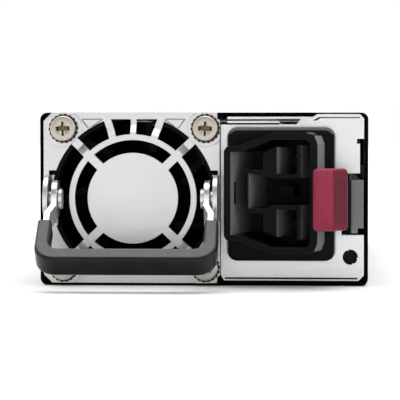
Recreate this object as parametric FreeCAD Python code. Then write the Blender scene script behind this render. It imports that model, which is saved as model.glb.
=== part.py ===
import FreeCAD, Part
import math
import os

# Hot swap server power supply: steel case, fan behind a pressed guard with a fold-out
# bail handle, mains inlet, release latch, and the converter on its board inside.
# Millimetres. X is the width, Y runs from the front (low) to the card edge (high),
# Z is up. The origin is the middle of the case's bottom face.
# The functions below count Y from the front edge of the case; export shifts it.

V = FreeCAD.Vector

# --- case -----------------------------------------------------------------------
CASE_W = 74.0
CASE_H = 39.0
CASE_L = 185.0
SHEET = 0.8
CASE_CORNER_R = 1.6
SEAM_DROP = 7.0         # joint between tray and cover, below the top
COVER_LIP = 5.0         # how far the cover's inner lip hangs below the joint
SEAT_GAP = 0.3          # clearance round drop-in parts
FIT_GAP = 0.05          # clearance of pressed and soldered pieces
PLATE = 1.0             # front plate thickness

# --- fan and its guard ----------------------------------------------------------
FAN_SHIFT = 0.4         # fan centre off the guard's middle
FAN_RISE = 0.25         # fan centre above mid height
FAN_HEAD_ROOM = 0.8     # fan frame to the case, above and below together
FAN_SIDE_ROOM = 3.2     # guard wider than the fan frame
FAN_DEPTH = 28.0
FAN_WALL = 0.6          # thinnest wall round the bore
FAN_CORNER_R = 2.4
FAN_FLANGE = 5.0        # full-width flanges at the frame's two ends
FAN_NOTCH = 5.2         # corners cut back between them
SCREW_HEAD_R = 2.85
SCREW_HEAD_H = 1.7
SCREW_SHANK_R = 1.3
SCREW_LENGTH = 9.0
SCREW_EDGE_X = 2.3      # fan screws from the fan's sides
SCREW_EDGE_Z = 2.65
SCREW_SHIFT = 0.3       # screws off the fan's middle, towards the inlet
SINK_R = 2.4            # countersunk cover screw
WASHER_R = 3.35
WASHER_T = 0.5
PAD_R = 4.1
PAD_T = 0.4
INLET_PLATE_W = 32.2
GUARD_INSET = 0.9       # left edge of the guard from the case's left face
GUARD_FOOT = 0.6        # lower edge of the guard above the case's bottom face
GUARD_CHAMFER = 1.9
GUARD_OPEN_MARGIN = 0.85
GUARD_TOP_BAND = 1.5    # sheet above the flat top of the opening
GUARD_FOOT_BAND = 2.45  # flat foot of the opening above the case's bottom face
GUARD_STEP = 1.4        # how far the ring and disc stand proud
GUARD_HUB_MARGIN = 0.7  # disc wider than the rotor's hub
GUARD_RING_W = 1.3
GUARD_STEP_FROM = 0.5   # step starts outside the ring
GUARD_STEP_RUN = 1.7
RELIEF_W = 0.22         # width and depth of the coined corner lines
RELIEF_DEPTH = 0.3
SPOKE_W = 1.95
SPOKE_ANGLE = 44.0
TOP_SPOKES = ((-5.9, 1.6), (0.1, 1.3), (6.3, 1.6))
ROTOR_GAP = 0.5
HUB_R = 9.5
HUB_WALL = 1.1
HUB_FRONT = 3.0
HUB_LENGTH = 17.5
BLADES = 7
BLADE_T = 1.1
BLADE_PITCH = 42.0
FAN_SHAFT_R = 1.0
RUN_GAP = 0.05
BEARING_R = 2.3
STRUTS = 4
STRUT_W = 2.2
FAN_BASE_T = 3.0

# --- bail handle ----------------------------------------------------------------
EAR_H = 10.4
EAR_T = 1.0
PIVOT_OUT = 4.7         # pivot axis in front of the guard's face
PIVOT_R = 1.2
PIVOT_HEAD_R = 2.3
PIVOT_HEAD_T = 0.7
SHOULDER_R = 1.8
ARM_T = 1.2
ARM_SIDE_GAP = 0.15
ARM_EAR_GAP = 0.75      # arm's eye to the ear
EYE_R = 4.1
ARM_W = 4.4
JOG_FROM = 4.3
JOG_TO = 6.9
JOG_OUT = 1.1
GRIP_FROM = 9.9
HANDLE_REACH = 22.3
GRIP_OUT = 1.5          # grip wider than the ears' inner faces, on each side
GRIP_ARM_W = 3.0
GRIP_BAR_W = 3.7
GRIP_T = 5.3
GRIP_CORNER_R = 4.6
GRIP_INNER_R = 2.2
GRIP_EDGE_R = 0.8
ARM_SINK = 7.5          # length of an arm held inside the grip
HANDLE_TILT = 50.0      # forward lean of the hanging handle

# --- inlet plate ----------------------------------------------------------------
PLATE_GAP = 0.15
PLATE_FOOT = 1.15
PLATE_STEP_DROP = 0.95  # top edges of the inlet plate below the case's top
PLATE_TAB_DROP = 0.35
GROOVE_W = 0.35
GROOVE_DEPTH = 0.45
LED_HOLE_R = 1.7
LED_INSET_X = 4.0
LED_Z = 6.5
WINDOW_BELOW = 7.0      # latch window from the latch's middle
WINDOW_ABOVE = 6.8
LATCH_WINDOW_W = 5.0
EDGE_STEP = 0.9         # plate edge set in above the latch window
EDGE_NOTCH = 1.6
NOTCH_DROP = 5.9        # notch in the plate's edge below the case's top
NOTCH_H = 1.1

# --- mains inlet ----------------------------------------------------------------
INLET_INSET = 19.5      # inlet centre from the right face of the case
INLET_RISE = 1.2        # flange centre above mid height
FLANGE_W = 24.2
FLANGE_H = 30.0
FLANGE_T = 2.2
FLANGE_R = 2.3
MOUTH_RISE = 0.3
COLLAR_H = 6.0
CAVITY_DEPTH = 15.0
RAKE = 0.27             # sideways lean of the mouth per unit of depth
ISLAND_SINK = 1.5
BODY_DEPTH = 9.0        # housing behind the plate
PIN_W = 3.2
PIN_T = 2.0
PIN_STAND = 5.0
PIN_TAIL = 4.6
INLET_BOARD_GAP = 1.6

# --- latch ----------------------------------------------------------------------
LATCH_T = 0.8
LATCH_H = 10.8
LATCH_DROP = 1.0        # latch's middle below mid height
LATCH_ROOT = 88.0       # far end of the spring arm
LATCH_FLEX = 78.0       # where the spring arm bends
HOOK_FROM = 40.0
HOOK_LENGTH = 8.0
HOOK_OUT = 0.9
FLEX_GAP = 0.2
TAB_DROP = 5.5          # tab's foot below the latch's middle
TAB_H = 13.6
TAB_FRONT = -15.2
TAB_BACK = -9.4
TAB_LEFT = 12.4         # from the case's right face
TAB_NOSE = 4.3
TAB_RIGHT = 4.8
TAB_R = 1.0
TAB_SIDE = 2.2          # depth of the tab's straight right side
RIB_COUNT = 5
RIB_PITCH = 0.72
RIB_W = 0.3
RIB_DEPTH = 0.25
RIB_MARGIN = 2.4
RIVET_R = 1.5

# --- board ----------------------------------------------------------------------
BOARD_T = 1.6
STANDOFF_H = 3.2
STANDOFF_R = 2.9        # across the corners of its hexagon, halved
BOARD_EDGE_GAP = 0.8
BOARD_FRONT_R = 14.0
BOARD_FAN_GAP = 2.0
CARD_EDGE_W = 58.0
CARD_EDGE_OUT = 9.0
HEAD_GAP = 1.8          # tallest part below the cover
SIDE_GAP = 2.2          # parts from the case's side walls

LEFT = -CASE_W / 2
RIGHT = CASE_W / 2
SEAM_Z = CASE_H - SEAM_DROP
GUARD_W = CASE_W - GUARD_INSET - INLET_PLATE_W - SHEET - 2 * PLATE_GAP
GUARD_RIGHT = LEFT + GUARD_INSET + GUARD_W
FAN_X = LEFT + GUARD_INSET + GUARD_W / 2 + FAN_SHIFT
FAN_Z = CASE_H / 2 + FAN_RISE
FAN_H = CASE_H - 2 * SHEET - FAN_HEAD_ROOM
FAN_W = GUARD_W - FAN_SIDE_ROOM
FAN_BORE_R = min(FAN_W, FAN_H) / 2 - FAN_WALL
SCREW_ACROSS = FAN_W / 2 - SCREW_EDGE_X
SCREW_UP = FAN_H / 2 - SCREW_EDGE_Z
GUARD_OPEN_R = FAN_BORE_R + GUARD_OPEN_MARGIN
GUARD_OPEN_TOP = CASE_H - GUARD_TOP_BAND - FAN_Z
GUARD_HUB_R = HUB_R + GUARD_HUB_MARGIN
GUARD_RING_R = (GUARD_HUB_R + GUARD_OPEN_R) / 2
GUARD_STEP_R0 = GUARD_RING_R + GUARD_STEP_FROM
WASHER_REACH = math.hypot(SCREW_ACROSS - SCREW_SHIFT, SCREW_UP) - WASHER_R
GUARD_STEP_R1 = min(GUARD_STEP_R0 + GUARD_STEP_RUN, WASHER_REACH - 0.2)
EAR_INNER = FAN_W / 2
ARM_OUTER = EAR_INNER - ARM_EAR_GAP
GRIP_HALF = EAR_INNER + GRIP_OUT
PLATE_STEP_TOP = CASE_H - PLATE_STEP_DROP
PLATE_TAB_TOP = CASE_H - PLATE_TAB_DROP
LATCH_Z = CASE_H / 2 - LATCH_DROP
LATCH_WINDOW = (LATCH_Z - WINDOW_BELOW, LATCH_Z + WINDOW_ABOVE)
TAB_Z0 = LATCH_Z - TAB_DROP
INLET_X = RIGHT - INLET_INSET
INLET_Z = CASE_H / 2 + INLET_RISE
PIVOT_Y = -PLATE - PIVOT_OUT
BOARD_Z = SHEET + STANDOFF_H
BOARD_TOP = BOARD_Z + BOARD_T
BOARD_FRONT_L = FAN_DEPTH + BOARD_FAN_GAP
INLET_BOARD_Y = BODY_DEPTH + INLET_BOARD_GAP


def box(x0, x1, y0, y1, z0, z1):
    return Part.makeBox(x1 - x0, y1 - y0, z1 - z0, V(x0, y0, z0))


def rod(x, y, z, r, length, axis=(0, 1, 0)):
    return Part.makeCylinder(r, length, V(x, y, z), V(*axis))


def tube(x, y, z, r0, r1, length, axis=(0, 1, 0)):
    return rod(x, y, z, r1, length, axis).cut(rod(x, y, z, r0, length, axis))


def front_prism(points, y0, y1, lean=0.0):
    """Outline given as (x, z) points, extruded along Y and leaning in X."""
    wire = Part.makePolygon([V(x, y0, z) for x, z in points + points[:1]])
    return Part.Face(wire).extrude(V(lean * (y1 - y0), y1 - y0, 0))


def plan_prism(points, z0, z1):
    """Outline given as (x, y) points, extruded along Z."""
    wire = Part.makePolygon([V(x, y, z0) for x, y in points + points[:1]])
    return Part.Face(wire).extrude(V(0, 0, z1 - z0))


def rounded_box(x0, x1, y0, y1, z0, z1, r, axis):
    """Box whose edges along the axis (0 X, 1 Y, 2 Z) are rounded."""
    solid = box(x0, x1, y0, y1, z0, z1)
    return solid.makeFillet(r, edges_along(solid, axis))


def edges_along(solid, axis):
    found = []
    for edge in solid.Edges:
        ends = [v.Point for v in edge.Vertexes]
        if len(ends) == 2:
            step = ends[1] - ends[0]
            if abs(abs(step[axis]) - step.Length) < 1e-6:
                found.append(edge)
    return found


def join(shapes):
    solid = shapes[0].multiFuse(shapes[1:]) if len(shapes) > 1 else shapes[0]
    return solid.removeSplitter()


def group(shapes):
    return Part.makeCompound(shapes)


def fan_screw_spots():
    spots = []
    for side in (-1, 1):
        for level in (-1, 1):
            spots.append((FAN_X + SCREW_SHIFT + side * SCREW_ACROSS, FAN_Z + level * SCREW_UP))
    return spots


# --- case -----------------------------------------------------------------------
def case_tube():
    inner_r = CASE_CORNER_R - SHEET
    outer = rounded_box(LEFT, RIGHT, 0, CASE_L, 0, CASE_H, CASE_CORNER_R, 1)
    inner = rounded_box(LEFT + SHEET, RIGHT - SHEET, -1, CASE_L + 1, SHEET, CASE_H - SHEET, inner_r, 1)
    return outer.cut(inner)


def side_screw_spots():
    spots = []
    for y in (CASE_L * 0.3, CASE_L * 0.86):
        spots.append((y, SEAM_Z - COVER_LIP / 2))
    return spots


def countersink(side, y, z, gap=0.0):
    """Cone of a flush screw head in a side wall."""
    return Part.makeCone(SINK_R + gap, SCREW_SHANK_R + gap, SHEET, V(side * CASE_W / 2, y, z), V(-side, 0, 0))


def chassis_tray():
    tray = case_tube().cut(box(LEFT - 1, RIGHT + 1, -1, CASE_L + 1, SEAM_Z, CASE_H + 1))
    for y, z in side_screw_spots():
        tray = tray.cut(rod(LEFT - 1, y, z, SCREW_SHANK_R + FIT_GAP, CASE_W + 2, (1, 0, 0)))
        for side in (-1, 1):
            tray = tray.cut(countersink(side, y, z, FIT_GAP))
    low = LATCH_Z - LATCH_H / 2 - 1
    window = box(RIGHT - 2, RIGHT + 1, HOOK_FROM - 2, HOOK_FROM + HOOK_LENGTH + 2, low, low + LATCH_H + 2)
    tray = tray.cut(window)
    for y in latch_rivet_places():
        tray = tray.cut(rod(RIGHT - 2, y, LATCH_Z, RIVET_R + FIT_GAP, 4, (1, 0, 0)))
    return tray


def top_cover():
    cover = case_tube().cut(box(LEFT - 1, RIGHT + 1, -1, CASE_L + 1, -1, SEAM_Z))
    for side in (-1, 1):
        wall = side * (CASE_W / 2 - SHEET)
        x0 = min(wall, wall - side * SHEET)
        y0 = FAN_DEPTH + 4 if side < 0 else BOARD_FRONT_R
        lip = box(x0, x0 + SHEET, y0, CASE_L - 8, SEAM_Z - COVER_LIP, CASE_H - SHEET - 0.5)
        cover = cover.fuse(lip)
    for y, z in side_screw_spots():
        cover = cover.cut(rod(LEFT - 1, y, z, SCREW_SHANK_R - 0.1, CASE_W + 2, (1, 0, 0)))
    corner = box(tab_left() - 1.2, RIGHT - SHEET - 0.4, -1, PLATE + 0.2, CASE_H - SHEET - 0.1, CASE_H + 1)
    return cover.cut(corner).removeSplitter()


def cover_screws():
    screws = []
    for y, z in side_screw_spots():
        for side in (-1, 1):
            shank = rod(side * CASE_W / 2, y, z, SCREW_SHANK_R - 0.15, SHEET * 2 + 1, (-side, 0, 0))
            screws.append(countersink(side, y, z).fuse(shank).removeSplitter())
    return group(screws)


def rear_panel():
    y0 = CASE_L - 1.6
    x0 = LEFT + SHEET + FIT_GAP
    z0 = SHEET + FIT_GAP
    panel = rounded_box(x0, -x0, y0, y0 + SHEET, z0, CASE_H - z0, CASE_CORNER_R - SHEET, 1)
    flange = 6.0
    for side in (-1, 1):
        edge = side * (-x0)
        xs = sorted((edge, edge - side * SHEET))
        panel = panel.fuse(box(xs[0], xs[1], y0 - flange, y0, 9, SEAM_Z - COVER_LIP - 1))
    mouth = box(-CARD_EDGE_W / 2 - 1, CARD_EDGE_W / 2 + 1, y0 - 1, y0 + 2, BOARD_Z - 1.2, BOARD_TOP + 2.6)
    panel = panel.cut(mouth)
    rows = 2
    columns = 14
    pitch = (CASE_W - 9) / columns
    row_h = (CASE_H - 16) / rows
    slots = []
    for row in range(rows):
        for column in range(columns):
            x = LEFT + 4.5 + pitch * (column + 0.5)
            z = 12.4 + row_h * row
            slots.append(box(x - 1.3, x + 1.3, y0 - 1, y0 + 2, z, z + row_h - 1.8))
    return panel.cut(group(slots)).removeSplitter()


# --- fan guard ------------------------------------------------------------------
def sector_spoke(angle, width, r0, r1, y0, y1):
    bar = box(r0, r1, y0, y1, -width / 2, width / 2)
    bar.rotate(V(0, 0, 0), V(0, -1, 0), angle)
    bar.translate(V(FAN_X, 0, FAN_Z))
    return bar


def stepped_spoke(angle, width, r_end):
    """Spoke that runs from the proud ring, down its step, out to the guard's sheet."""
    face = -PLATE - GUARD_STEP
    ring = GUARD_RING_R - 0.3
    outline = [
        (ring, face), (GUARD_STEP_R0, face), (GUARD_STEP_R1, -PLATE), (r_end, -PLATE),
        (r_end, 0), (GUARD_STEP_R1 - 0.4, 0), (GUARD_STEP_R0 - 0.4, face + PLATE), (ring, face + PLATE),
    ]
    wire = Part.makePolygon([V(r, y, -width / 2) for r, y in outline + outline[:1]])
    bar = Part.Face(wire).extrude(V(0, 0, width))
    bar.rotate(V(0, 0, 0), V(0, -1, 0), angle)
    bar.translate(V(FAN_X, 0, FAN_Z))
    return bar


def guard_outline():
    x0 = LEFT + GUARD_INSET
    x1 = GUARD_RIGHT
    c = GUARD_CHAMFER
    z0 = GUARD_FOOT
    z1 = CASE_H
    return [
        (x0 + c, z0), (x1 - 0.6, z0), (x1 - 0.6, z0 + 1.2), (x1, z0 + 1.8), (x1, z1 - 1.8),
        (x1 - 0.6, z1 - 1.2), (x1 - 0.6, z1), (x0 + c, z1), (x0, z1 - c), (x0, z0 + c),
    ]


def guard_opening():
    hole = rod(FAN_X, -PLATE - 1, FAN_Z, GUARD_OPEN_R, PLATE + 2)
    top = FAN_Z + GUARD_OPEN_TOP
    return hole.common(box(FAN_X - 30, FAN_X + 30, -5, 5, GUARD_FOOT_BAND, top))


def guard_ear(side):
    inner = FAN_X + side * EAR_INNER
    outer = inner + side * EAR_T
    x0 = min(inner, outer)
    half = EAR_H / 2
    web = box(x0, x0 + EAR_T, PIVOT_Y, 0, FAN_Z - half, FAN_Z + half)
    nose = rod(x0, PIVOT_Y, FAN_Z, half, EAR_T, (1, 0, 0))
    ear = web.fuse(nose)
    slot_y = -PLATE - 1.3
    ear = ear.cut(box(x0 - 1, x0 + 3, slot_y, slot_y + 0.9, FAN_Z - 2.8, FAN_Z + 2.8))
    return ear.fuse(stop_lug(side)).cut(rod(x0 - 1, PIVOT_Y, FAN_Z, PIVOT_R + FIT_GAP / 2, 4, (1, 0, 0)))


def stop_lug(side):
    """Small tab turned in from the ear, on which the hanging arm comes to rest."""
    back = ARM_W / 2 + SEAT_GAP
    lug = box(0, EAR_INNER - ARM_OUTER + ARM_T + EAR_T / 2, back, back + 0.8, -5.3, -3.7)
    if side > 0:
        lug.translate(V(EAR_INNER + EAR_T / 2 - lug.BoundBox.XLength, 0, 0))
    else:
        lug.translate(V(-EAR_INNER - EAR_T / 2, 0, 0))
    lug.rotate(V(0, 0, 0), V(1, 0, 0), -HANDLE_TILT)
    lug.translate(V(FAN_X, PIVOT_Y, FAN_Z))
    return lug


def fan_guard():
    sheet = front_prism(guard_outline(), -PLATE, 0)
    outline = front_prism(guard_outline(), -PLATE - PAD_T, 0)
    for x, z in fan_screw_spots():
        pad = rod(x, -PLATE - PAD_T, z, PAD_R, PAD_T)
        sheet = sheet.fuse(pad.common(outline))
    sheet = sheet.cut(guard_opening())
    for side in (-1, 1):
        edge = FAN_X + side * (EAR_INNER + EAR_T - 0.2)
        inner = FAN_X + side * (EAR_INNER - 2.4)
        xs = sorted((edge, inner))
        for z in (FAN_Z - EAR_H / 2 - 1.0, FAN_Z + EAR_H / 2):
            sheet = sheet.cut(box(xs[0], xs[1], -PLATE - 1, 1, z, z + 1.0))
    for x, z in fan_screw_spots():
        sheet = sheet.cut(rod(x, -5, z, SCREW_SHANK_R + 0.2, 6))
    for side in (-1, 1):
        sheet = sheet.cut(corner_relief(side))
    face = -PLATE - GUARD_STEP
    disc = rod(FAN_X, face, FAN_Z, GUARD_HUB_R, PLATE)
    ring = tube(FAN_X, face, FAN_Z, GUARD_RING_R - GUARD_RING_W, GUARD_RING_R, PLATE)
    pieces = [sheet, disc, ring]
    for quarter in range(4):
        angle = SPOKE_ANGLE + 90 * quarter
        if quarter % 2:
            angle = 90 * (quarter + 1) - SPOKE_ANGLE
        pieces.append(sector_spoke(angle, SPOKE_W, GUARD_HUB_R - 0.5, GUARD_RING_R - 0.3, face, face + PLATE))
        pieces.append(stepped_spoke(angle, SPOKE_W, GUARD_OPEN_R + 0.6))
    clip = box(FAN_X - 30, FAN_X + 30, -9, 3, GUARD_FOOT, FAN_Z + GUARD_OPEN_TOP + 0.2)
    for offset, width in TOP_SPOKES:
        angle = math.degrees(math.atan2(GUARD_OPEN_TOP, offset))
        pieces.append(stepped_spoke(angle, width, GUARD_OPEN_R + 0.8).common(clip))
    for side in (-1, 1):
        pieces.append(guard_ear(side))
    return join(pieces)


def corner_relief(side):
    """Coined lines round the three-cornered web beside the flat top of the opening."""
    top = FAN_Z + GUARD_OPEN_TOP
    corners = [(FAN_X + side * 11.7, top), (FAN_X + side * 10.1, top - 2.1), (FAN_X + side * 6.9, top)]
    lines = []
    for (x0, z0), (x1, z1) in zip(corners, corners[1:] + corners[:1]):
        length = math.hypot(x1 - x0, z1 - z0)
        line = box(0, length, -PLATE - 1, -PLATE + RELIEF_DEPTH, -RELIEF_W / 2, RELIEF_W / 2)
        line.rotate(V(0, 0, 0), V(0, -1, 0), math.degrees(math.atan2(z1 - z0, x1 - x0)))
        line.translate(V(x0, 0, z0))
        lines.append(line)
    return join(lines)


def fan_screws():
    screws = []
    seat = -PLATE - PAD_T - WASHER_T
    for x, z in fan_screw_spots():
        head = rod(x, seat - SCREW_HEAD_H, z, SCREW_HEAD_R, SCREW_HEAD_H)
        screws.append(head.fuse(rod(x, seat, z, SCREW_SHANK_R, SCREW_LENGTH)).removeSplitter())
    return group(screws)


def lock_washers():
    seat = -PLATE - PAD_T - WASHER_T
    bore = SCREW_SHANK_R + FIT_GAP
    return group([tube(x, seat, z, bore, WASHER_R, WASHER_T) for x, z in fan_screw_spots()])


def fan_frame():
    half_w = FAN_W / 2
    half_h = FAN_H / 2
    frame = rounded_box(-half_w, half_w, 0, FAN_DEPTH, -half_h, half_h, FAN_CORNER_R, 1)
    waist = half_w - FAN_NOTCH
    shoulder = half_h - FAN_NOTCH
    for side in (-1, 1):
        for level in (-1, 1):
            xs = sorted((side * waist, side * half_w))
            zs = sorted((level * shoulder, level * half_h))
            frame = frame.cut(box(xs[0], xs[1], FAN_FLANGE, FAN_DEPTH - FAN_FLANGE, zs[0], zs[1]))
    frame = frame.translated(V(FAN_X, 0, FAN_Z)).cut(rod(FAN_X, -1, FAN_Z, FAN_BORE_R, FAN_DEPTH + 2))
    for x, z in fan_screw_spots():
        frame = frame.cut(rod(x, -1, z, SCREW_SHANK_R + FIT_GAP, SCREW_LENGTH))
    base_y = FAN_DEPTH - FAN_BASE_T
    pieces = [frame, rod(FAN_X, base_y, FAN_Z, HUB_R, FAN_BASE_T)]
    for n in range(STRUTS):
        pieces.append(sector_spoke(45 + 90 * n, STRUT_W, 3, FAN_BORE_R + 0.5, base_y, FAN_DEPTH))
    hub_end = HUB_FRONT + HUB_WALL + 2.0
    pieces.append(rod(FAN_X, hub_end, FAN_Z, BEARING_R + 0.9, base_y - hub_end + 0.5))
    return join(pieces).cut(rod(FAN_X, hub_end - 1, FAN_Z, BEARING_R, base_y - hub_end + 1.5))


def fan_bearing():
    start = HUB_FRONT + HUB_WALL + 2.0
    length = FAN_DEPTH - FAN_BASE_T - start + 0.5
    return tube(FAN_X, start, FAN_Z, FAN_SHAFT_R + RUN_GAP, BEARING_R, length)


def fan_stator():
    start = HUB_FRONT + HUB_WALL + 3.5
    end = HUB_FRONT + HUB_LENGTH - 2
    bore = BEARING_R + 0.9
    core = tube(FAN_X, start + 2, FAN_Z, bore, bore + 1.2, end - start - 4)
    pieces = [core]
    for n in range(4):
        tooth = sector_spoke(90 * n, 2.0, bore + 0.8, HUB_R - HUB_WALL - 1.6, start + 2, end - 2)
        coil = sector_spoke(90 * n, 3.6, bore + 1.4, HUB_R - HUB_WALL - 2.4, start, end)
        pieces += [tooth, coil]
    return join(pieces)


def rotor_hub():
    cup = rod(FAN_X, HUB_FRONT, FAN_Z, HUB_R, HUB_LENGTH)
    cup = cup.makeFillet(1.2, [e for e in cup.Edges if abs(e.BoundBox.YMax - HUB_FRONT) < 1e-6])
    cup = cup.cut(rod(FAN_X, HUB_FRONT + HUB_WALL, FAN_Z, HUB_R - HUB_WALL, HUB_LENGTH))
    cup = cup.cut(rod(FAN_X, HUB_FRONT - 1, FAN_Z, FAN_SHAFT_R, HUB_WALL + 2))
    tip = FAN_BORE_R - ROTOR_GAP
    swept = tube(FAN_X, HUB_FRONT + 1.5, FAN_Z, HUB_R - 0.5, tip, HUB_LENGTH - 3)
    pieces = [cup]
    for n in range(BLADES):
        blade = box(HUB_R - 0.5, tip + 2, -11, 11, -BLADE_T / 2, BLADE_T / 2)
        blade.rotate(V(0, 0, 0), V(1, 0, 0), BLADE_PITCH)
        blade.rotate(V(0, 0, 0), V(0, 1, 0), 360.0 * n / BLADES)
        blade.translate(V(FAN_X, HUB_FRONT + HUB_LENGTH / 2, FAN_Z))
        pieces.append(blade.common(swept))
    return join(pieces)


def rotor_shaft():
    return rod(FAN_X, HUB_FRONT + 0.2, FAN_Z, FAN_SHAFT_R, FAN_DEPTH - FAN_BASE_T - HUB_FRONT - 0.2)


def rotor_magnet():
    inner = HUB_R - HUB_WALL
    return tube(FAN_X, HUB_FRONT + 4, FAN_Z, inner - 0.9, inner, HUB_LENGTH - 6)


# --- bail handle ----------------------------------------------------------------
def pivot_pins():
    pins = []
    for side in (-1, 1):
        ear_out = FAN_X + side * (EAR_INNER + EAR_T)
        ear_in = FAN_X + side * EAR_INNER
        arm_in = FAN_X + side * (ARM_OUTER - ARM_T - ARM_SIDE_GAP)
        axis = (-side, 0, 0)
        reach = abs(ear_out - arm_in) + PIVOT_HEAD_T
        shoulder = EAR_INNER - ARM_OUTER - ARM_SIDE_GAP
        pieces = [rod(ear_out, PIVOT_Y, FAN_Z, PIVOT_R, reach, axis)]
        pieces.append(rod(ear_in, PIVOT_Y, FAN_Z, SHOULDER_R, shoulder, axis))
        pieces.append(rod(arm_in, PIVOT_Y, FAN_Z, PIVOT_HEAD_R, PIVOT_HEAD_T, axis))
        pins.append(join(pieces))
    return group(pins)


def hang(shape):
    """Puts a shape drawn hanging from the pivot into the handle's rest place."""
    placed = shape.copy()
    placed.rotate(V(0, 0, 0), V(1, 0, 0), -HANDLE_TILT)
    placed.translate(V(FAN_X, PIVOT_Y, FAN_Z))
    return placed


def arm_strip(side):
    """One steel arm, drawn hanging straight down from its eye."""
    x0 = ARM_OUTER - ARM_T
    x1 = ARM_OUTER
    end = -GRIP_FROM - ARM_SINK
    outline = [
        (x0, 0), (x1, 0), (x1, -JOG_FROM), (x1 + JOG_OUT, -JOG_TO), (x1 + JOG_OUT, end),
        (x0 + JOG_OUT, end), (x0 + JOG_OUT, -JOG_TO - 0.3), (x0, -JOG_FROM - 0.3),
    ]
    strip = front_prism(outline, -ARM_W / 2, ARM_W / 2)
    eye = rod(x0, 0, 0, EYE_R, ARM_T, (1, 0, 0))
    arm = strip.fuse(eye).cut(rod(x0 - 1, 0, 0, PIVOT_R + RUN_GAP, 4, (1, 0, 0))).removeSplitter()
    if side < 0:
        arm = arm.mirror(V(0, 0, 0), V(1, 0, 0))
    return arm


def handle_arms():
    return group([hang(arm_strip(side)) for side in (-1, 1)])


def handle_grip():
    half = GRIP_HALF
    low = -HANDLE_REACH
    block = rounded_box(-half, half, -GRIP_T / 2, GRIP_T / 2, low, 8, GRIP_CORNER_R, 1)
    inner = half - GRIP_ARM_W
    gap = rounded_box(-inner, inner, -GRIP_T, GRIP_T, low + GRIP_BAR_W, 12, GRIP_INNER_R, 1)
    block = block.cut(gap).cut(box(-30, 30, -10, 10, -GRIP_FROM, 20))
    block = block.makeFillet(GRIP_EDGE_R, grip_rims(block))
    for side in (-1, 1):
        block = block.cut(arm_strip(side))
    return hang(block)


def grip_rims(block):
    rims = []
    for edge in block.Edges:
        bounds = edge.BoundBox
        flat = bounds.YMax - bounds.YMin < 1e-6
        if flat and abs(abs(bounds.YMax) - GRIP_T / 2) < 1e-6 and bounds.ZMin < -GRIP_FROM - 0.01:
            rims.append(edge)
    return rims


# --- inlet plate ----------------------------------------------------------------
def tab_left():
    return RIGHT - 11.4


def inlet_plate():
    x0 = GUARD_RIGHT + PLATE_GAP
    x1 = RIGHT - SHEET - PLATE_GAP
    z0 = PLATE_FOOT
    top = PLATE_STEP_TOP
    step = LATCH_WINDOW[1] - 0.5
    notch = CASE_H - NOTCH_DROP
    foot = [(x0, z0 + 1.3), (x0 + 0.8, z0), (x1 - 1.2, z0), (x1, z0 + 1.2), (x1, step), (x1 - EDGE_STEP, step)]
    floor = notch - NOTCH_H
    bite = [(x1 - EDGE_STEP, floor), (x1 - EDGE_NOTCH, floor), (x1 - EDGE_NOTCH, notch), (x1, notch)]
    left = tab_left()
    tab = [(x1, PLATE_TAB_TOP - 1.0), (x1 - 0.9, PLATE_TAB_TOP), (left, PLATE_TAB_TOP), (left - 1.0, top)]
    outline = foot + bite + tab + [(x0 + 1.5, top), (x0 + 1.5, top - 1.6), (x0, top - 1.8)]
    plate = front_prism(outline, 0, PLATE)
    hole_half_w = FLANGE_W / 2 - 0.9
    hole_half_h = FLANGE_H / 2 - 1.9
    hole = box(-hole_half_w, hole_half_w, -1, 2, -hole_half_h, hole_half_h)
    plate = plate.cut(hole.translated(V(INLET_X, 0, INLET_Z)))
    low, high = LATCH_WINDOW
    plate = plate.cut(box(x1 - LATCH_WINDOW_W, x1 + 1, -1, 2, low, high))
    plate = plate.cut(rod(RIGHT - LED_INSET_X, -1, LED_Z, LED_HOLE_R, 3))
    bench = [(x0 + 1.0, top - 0.75), (x0 + 1.0, top - 1.6)]
    for x, z in bench:
        plate = plate.cut(box(x, INLET_X - 0.4, -1, GROOVE_DEPTH, z - GROOVE_W / 2, z + GROOVE_W / 2))
    cutout = front_prism([(-0.9, -0.5), (4.4, -0.5), (3.4, -1.7), (-0.1, -1.7)], -1, 2)
    plate = plate.cut(cutout.translated(V(INLET_X, 0, top)))
    keyhole = [
        (tab_left() - 1.0, top - 0.85), (tab_left() + 0.2, top - 0.15), (tab_left() + 0.9, top - 0.15),
        (tab_left() - 0.2, top - 0.85),
    ]
    plate = plate.cut(front_prism(keyhole, -1, 2))
    plate = plate.cut(box(x0 + 0.9, x1 - 1.4, -1, GROOVE_DEPTH, z0 + 0.35, z0 + 0.7))
    fold = box(tab_left() + 0.4, x1 - 0.9, -1, 0.2, PLATE_TAB_TOP - 0.9, PLATE_TAB_TOP - 0.7)
    plate = plate.cut(fold)
    foot = box(x0 + 2, x0 + 2 + 6, PLATE, PLATE + 5, SHEET, SHEET + PLATE)
    foot = foot.fuse(box(x1 - 12, x1 - 6, PLATE, PLATE + 5, SHEET, SHEET + PLATE))
    foot = foot.fuse(box(x0 + 2, x0 + 8, 0.5, PLATE + 0.5, SHEET, z0 + 1.0))
    foot = foot.fuse(box(x1 - 12, x1 - 6, 0.5, PLATE + 0.5, SHEET, z0 + 1.0))
    return plate.fuse(foot).removeSplitter()


# --- mains inlet ----------------------------------------------------------------
def mouth(points):
    return [(INLET_X + x, INLET_Z + MOUTH_RISE + z) for x, z in points]


LIP_Y = -FLANGE_T - COLLAR_H
FLOOR_Y = LIP_Y + CAVITY_DEPTH
ISLAND_Y = LIP_Y + ISLAND_SINK

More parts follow.
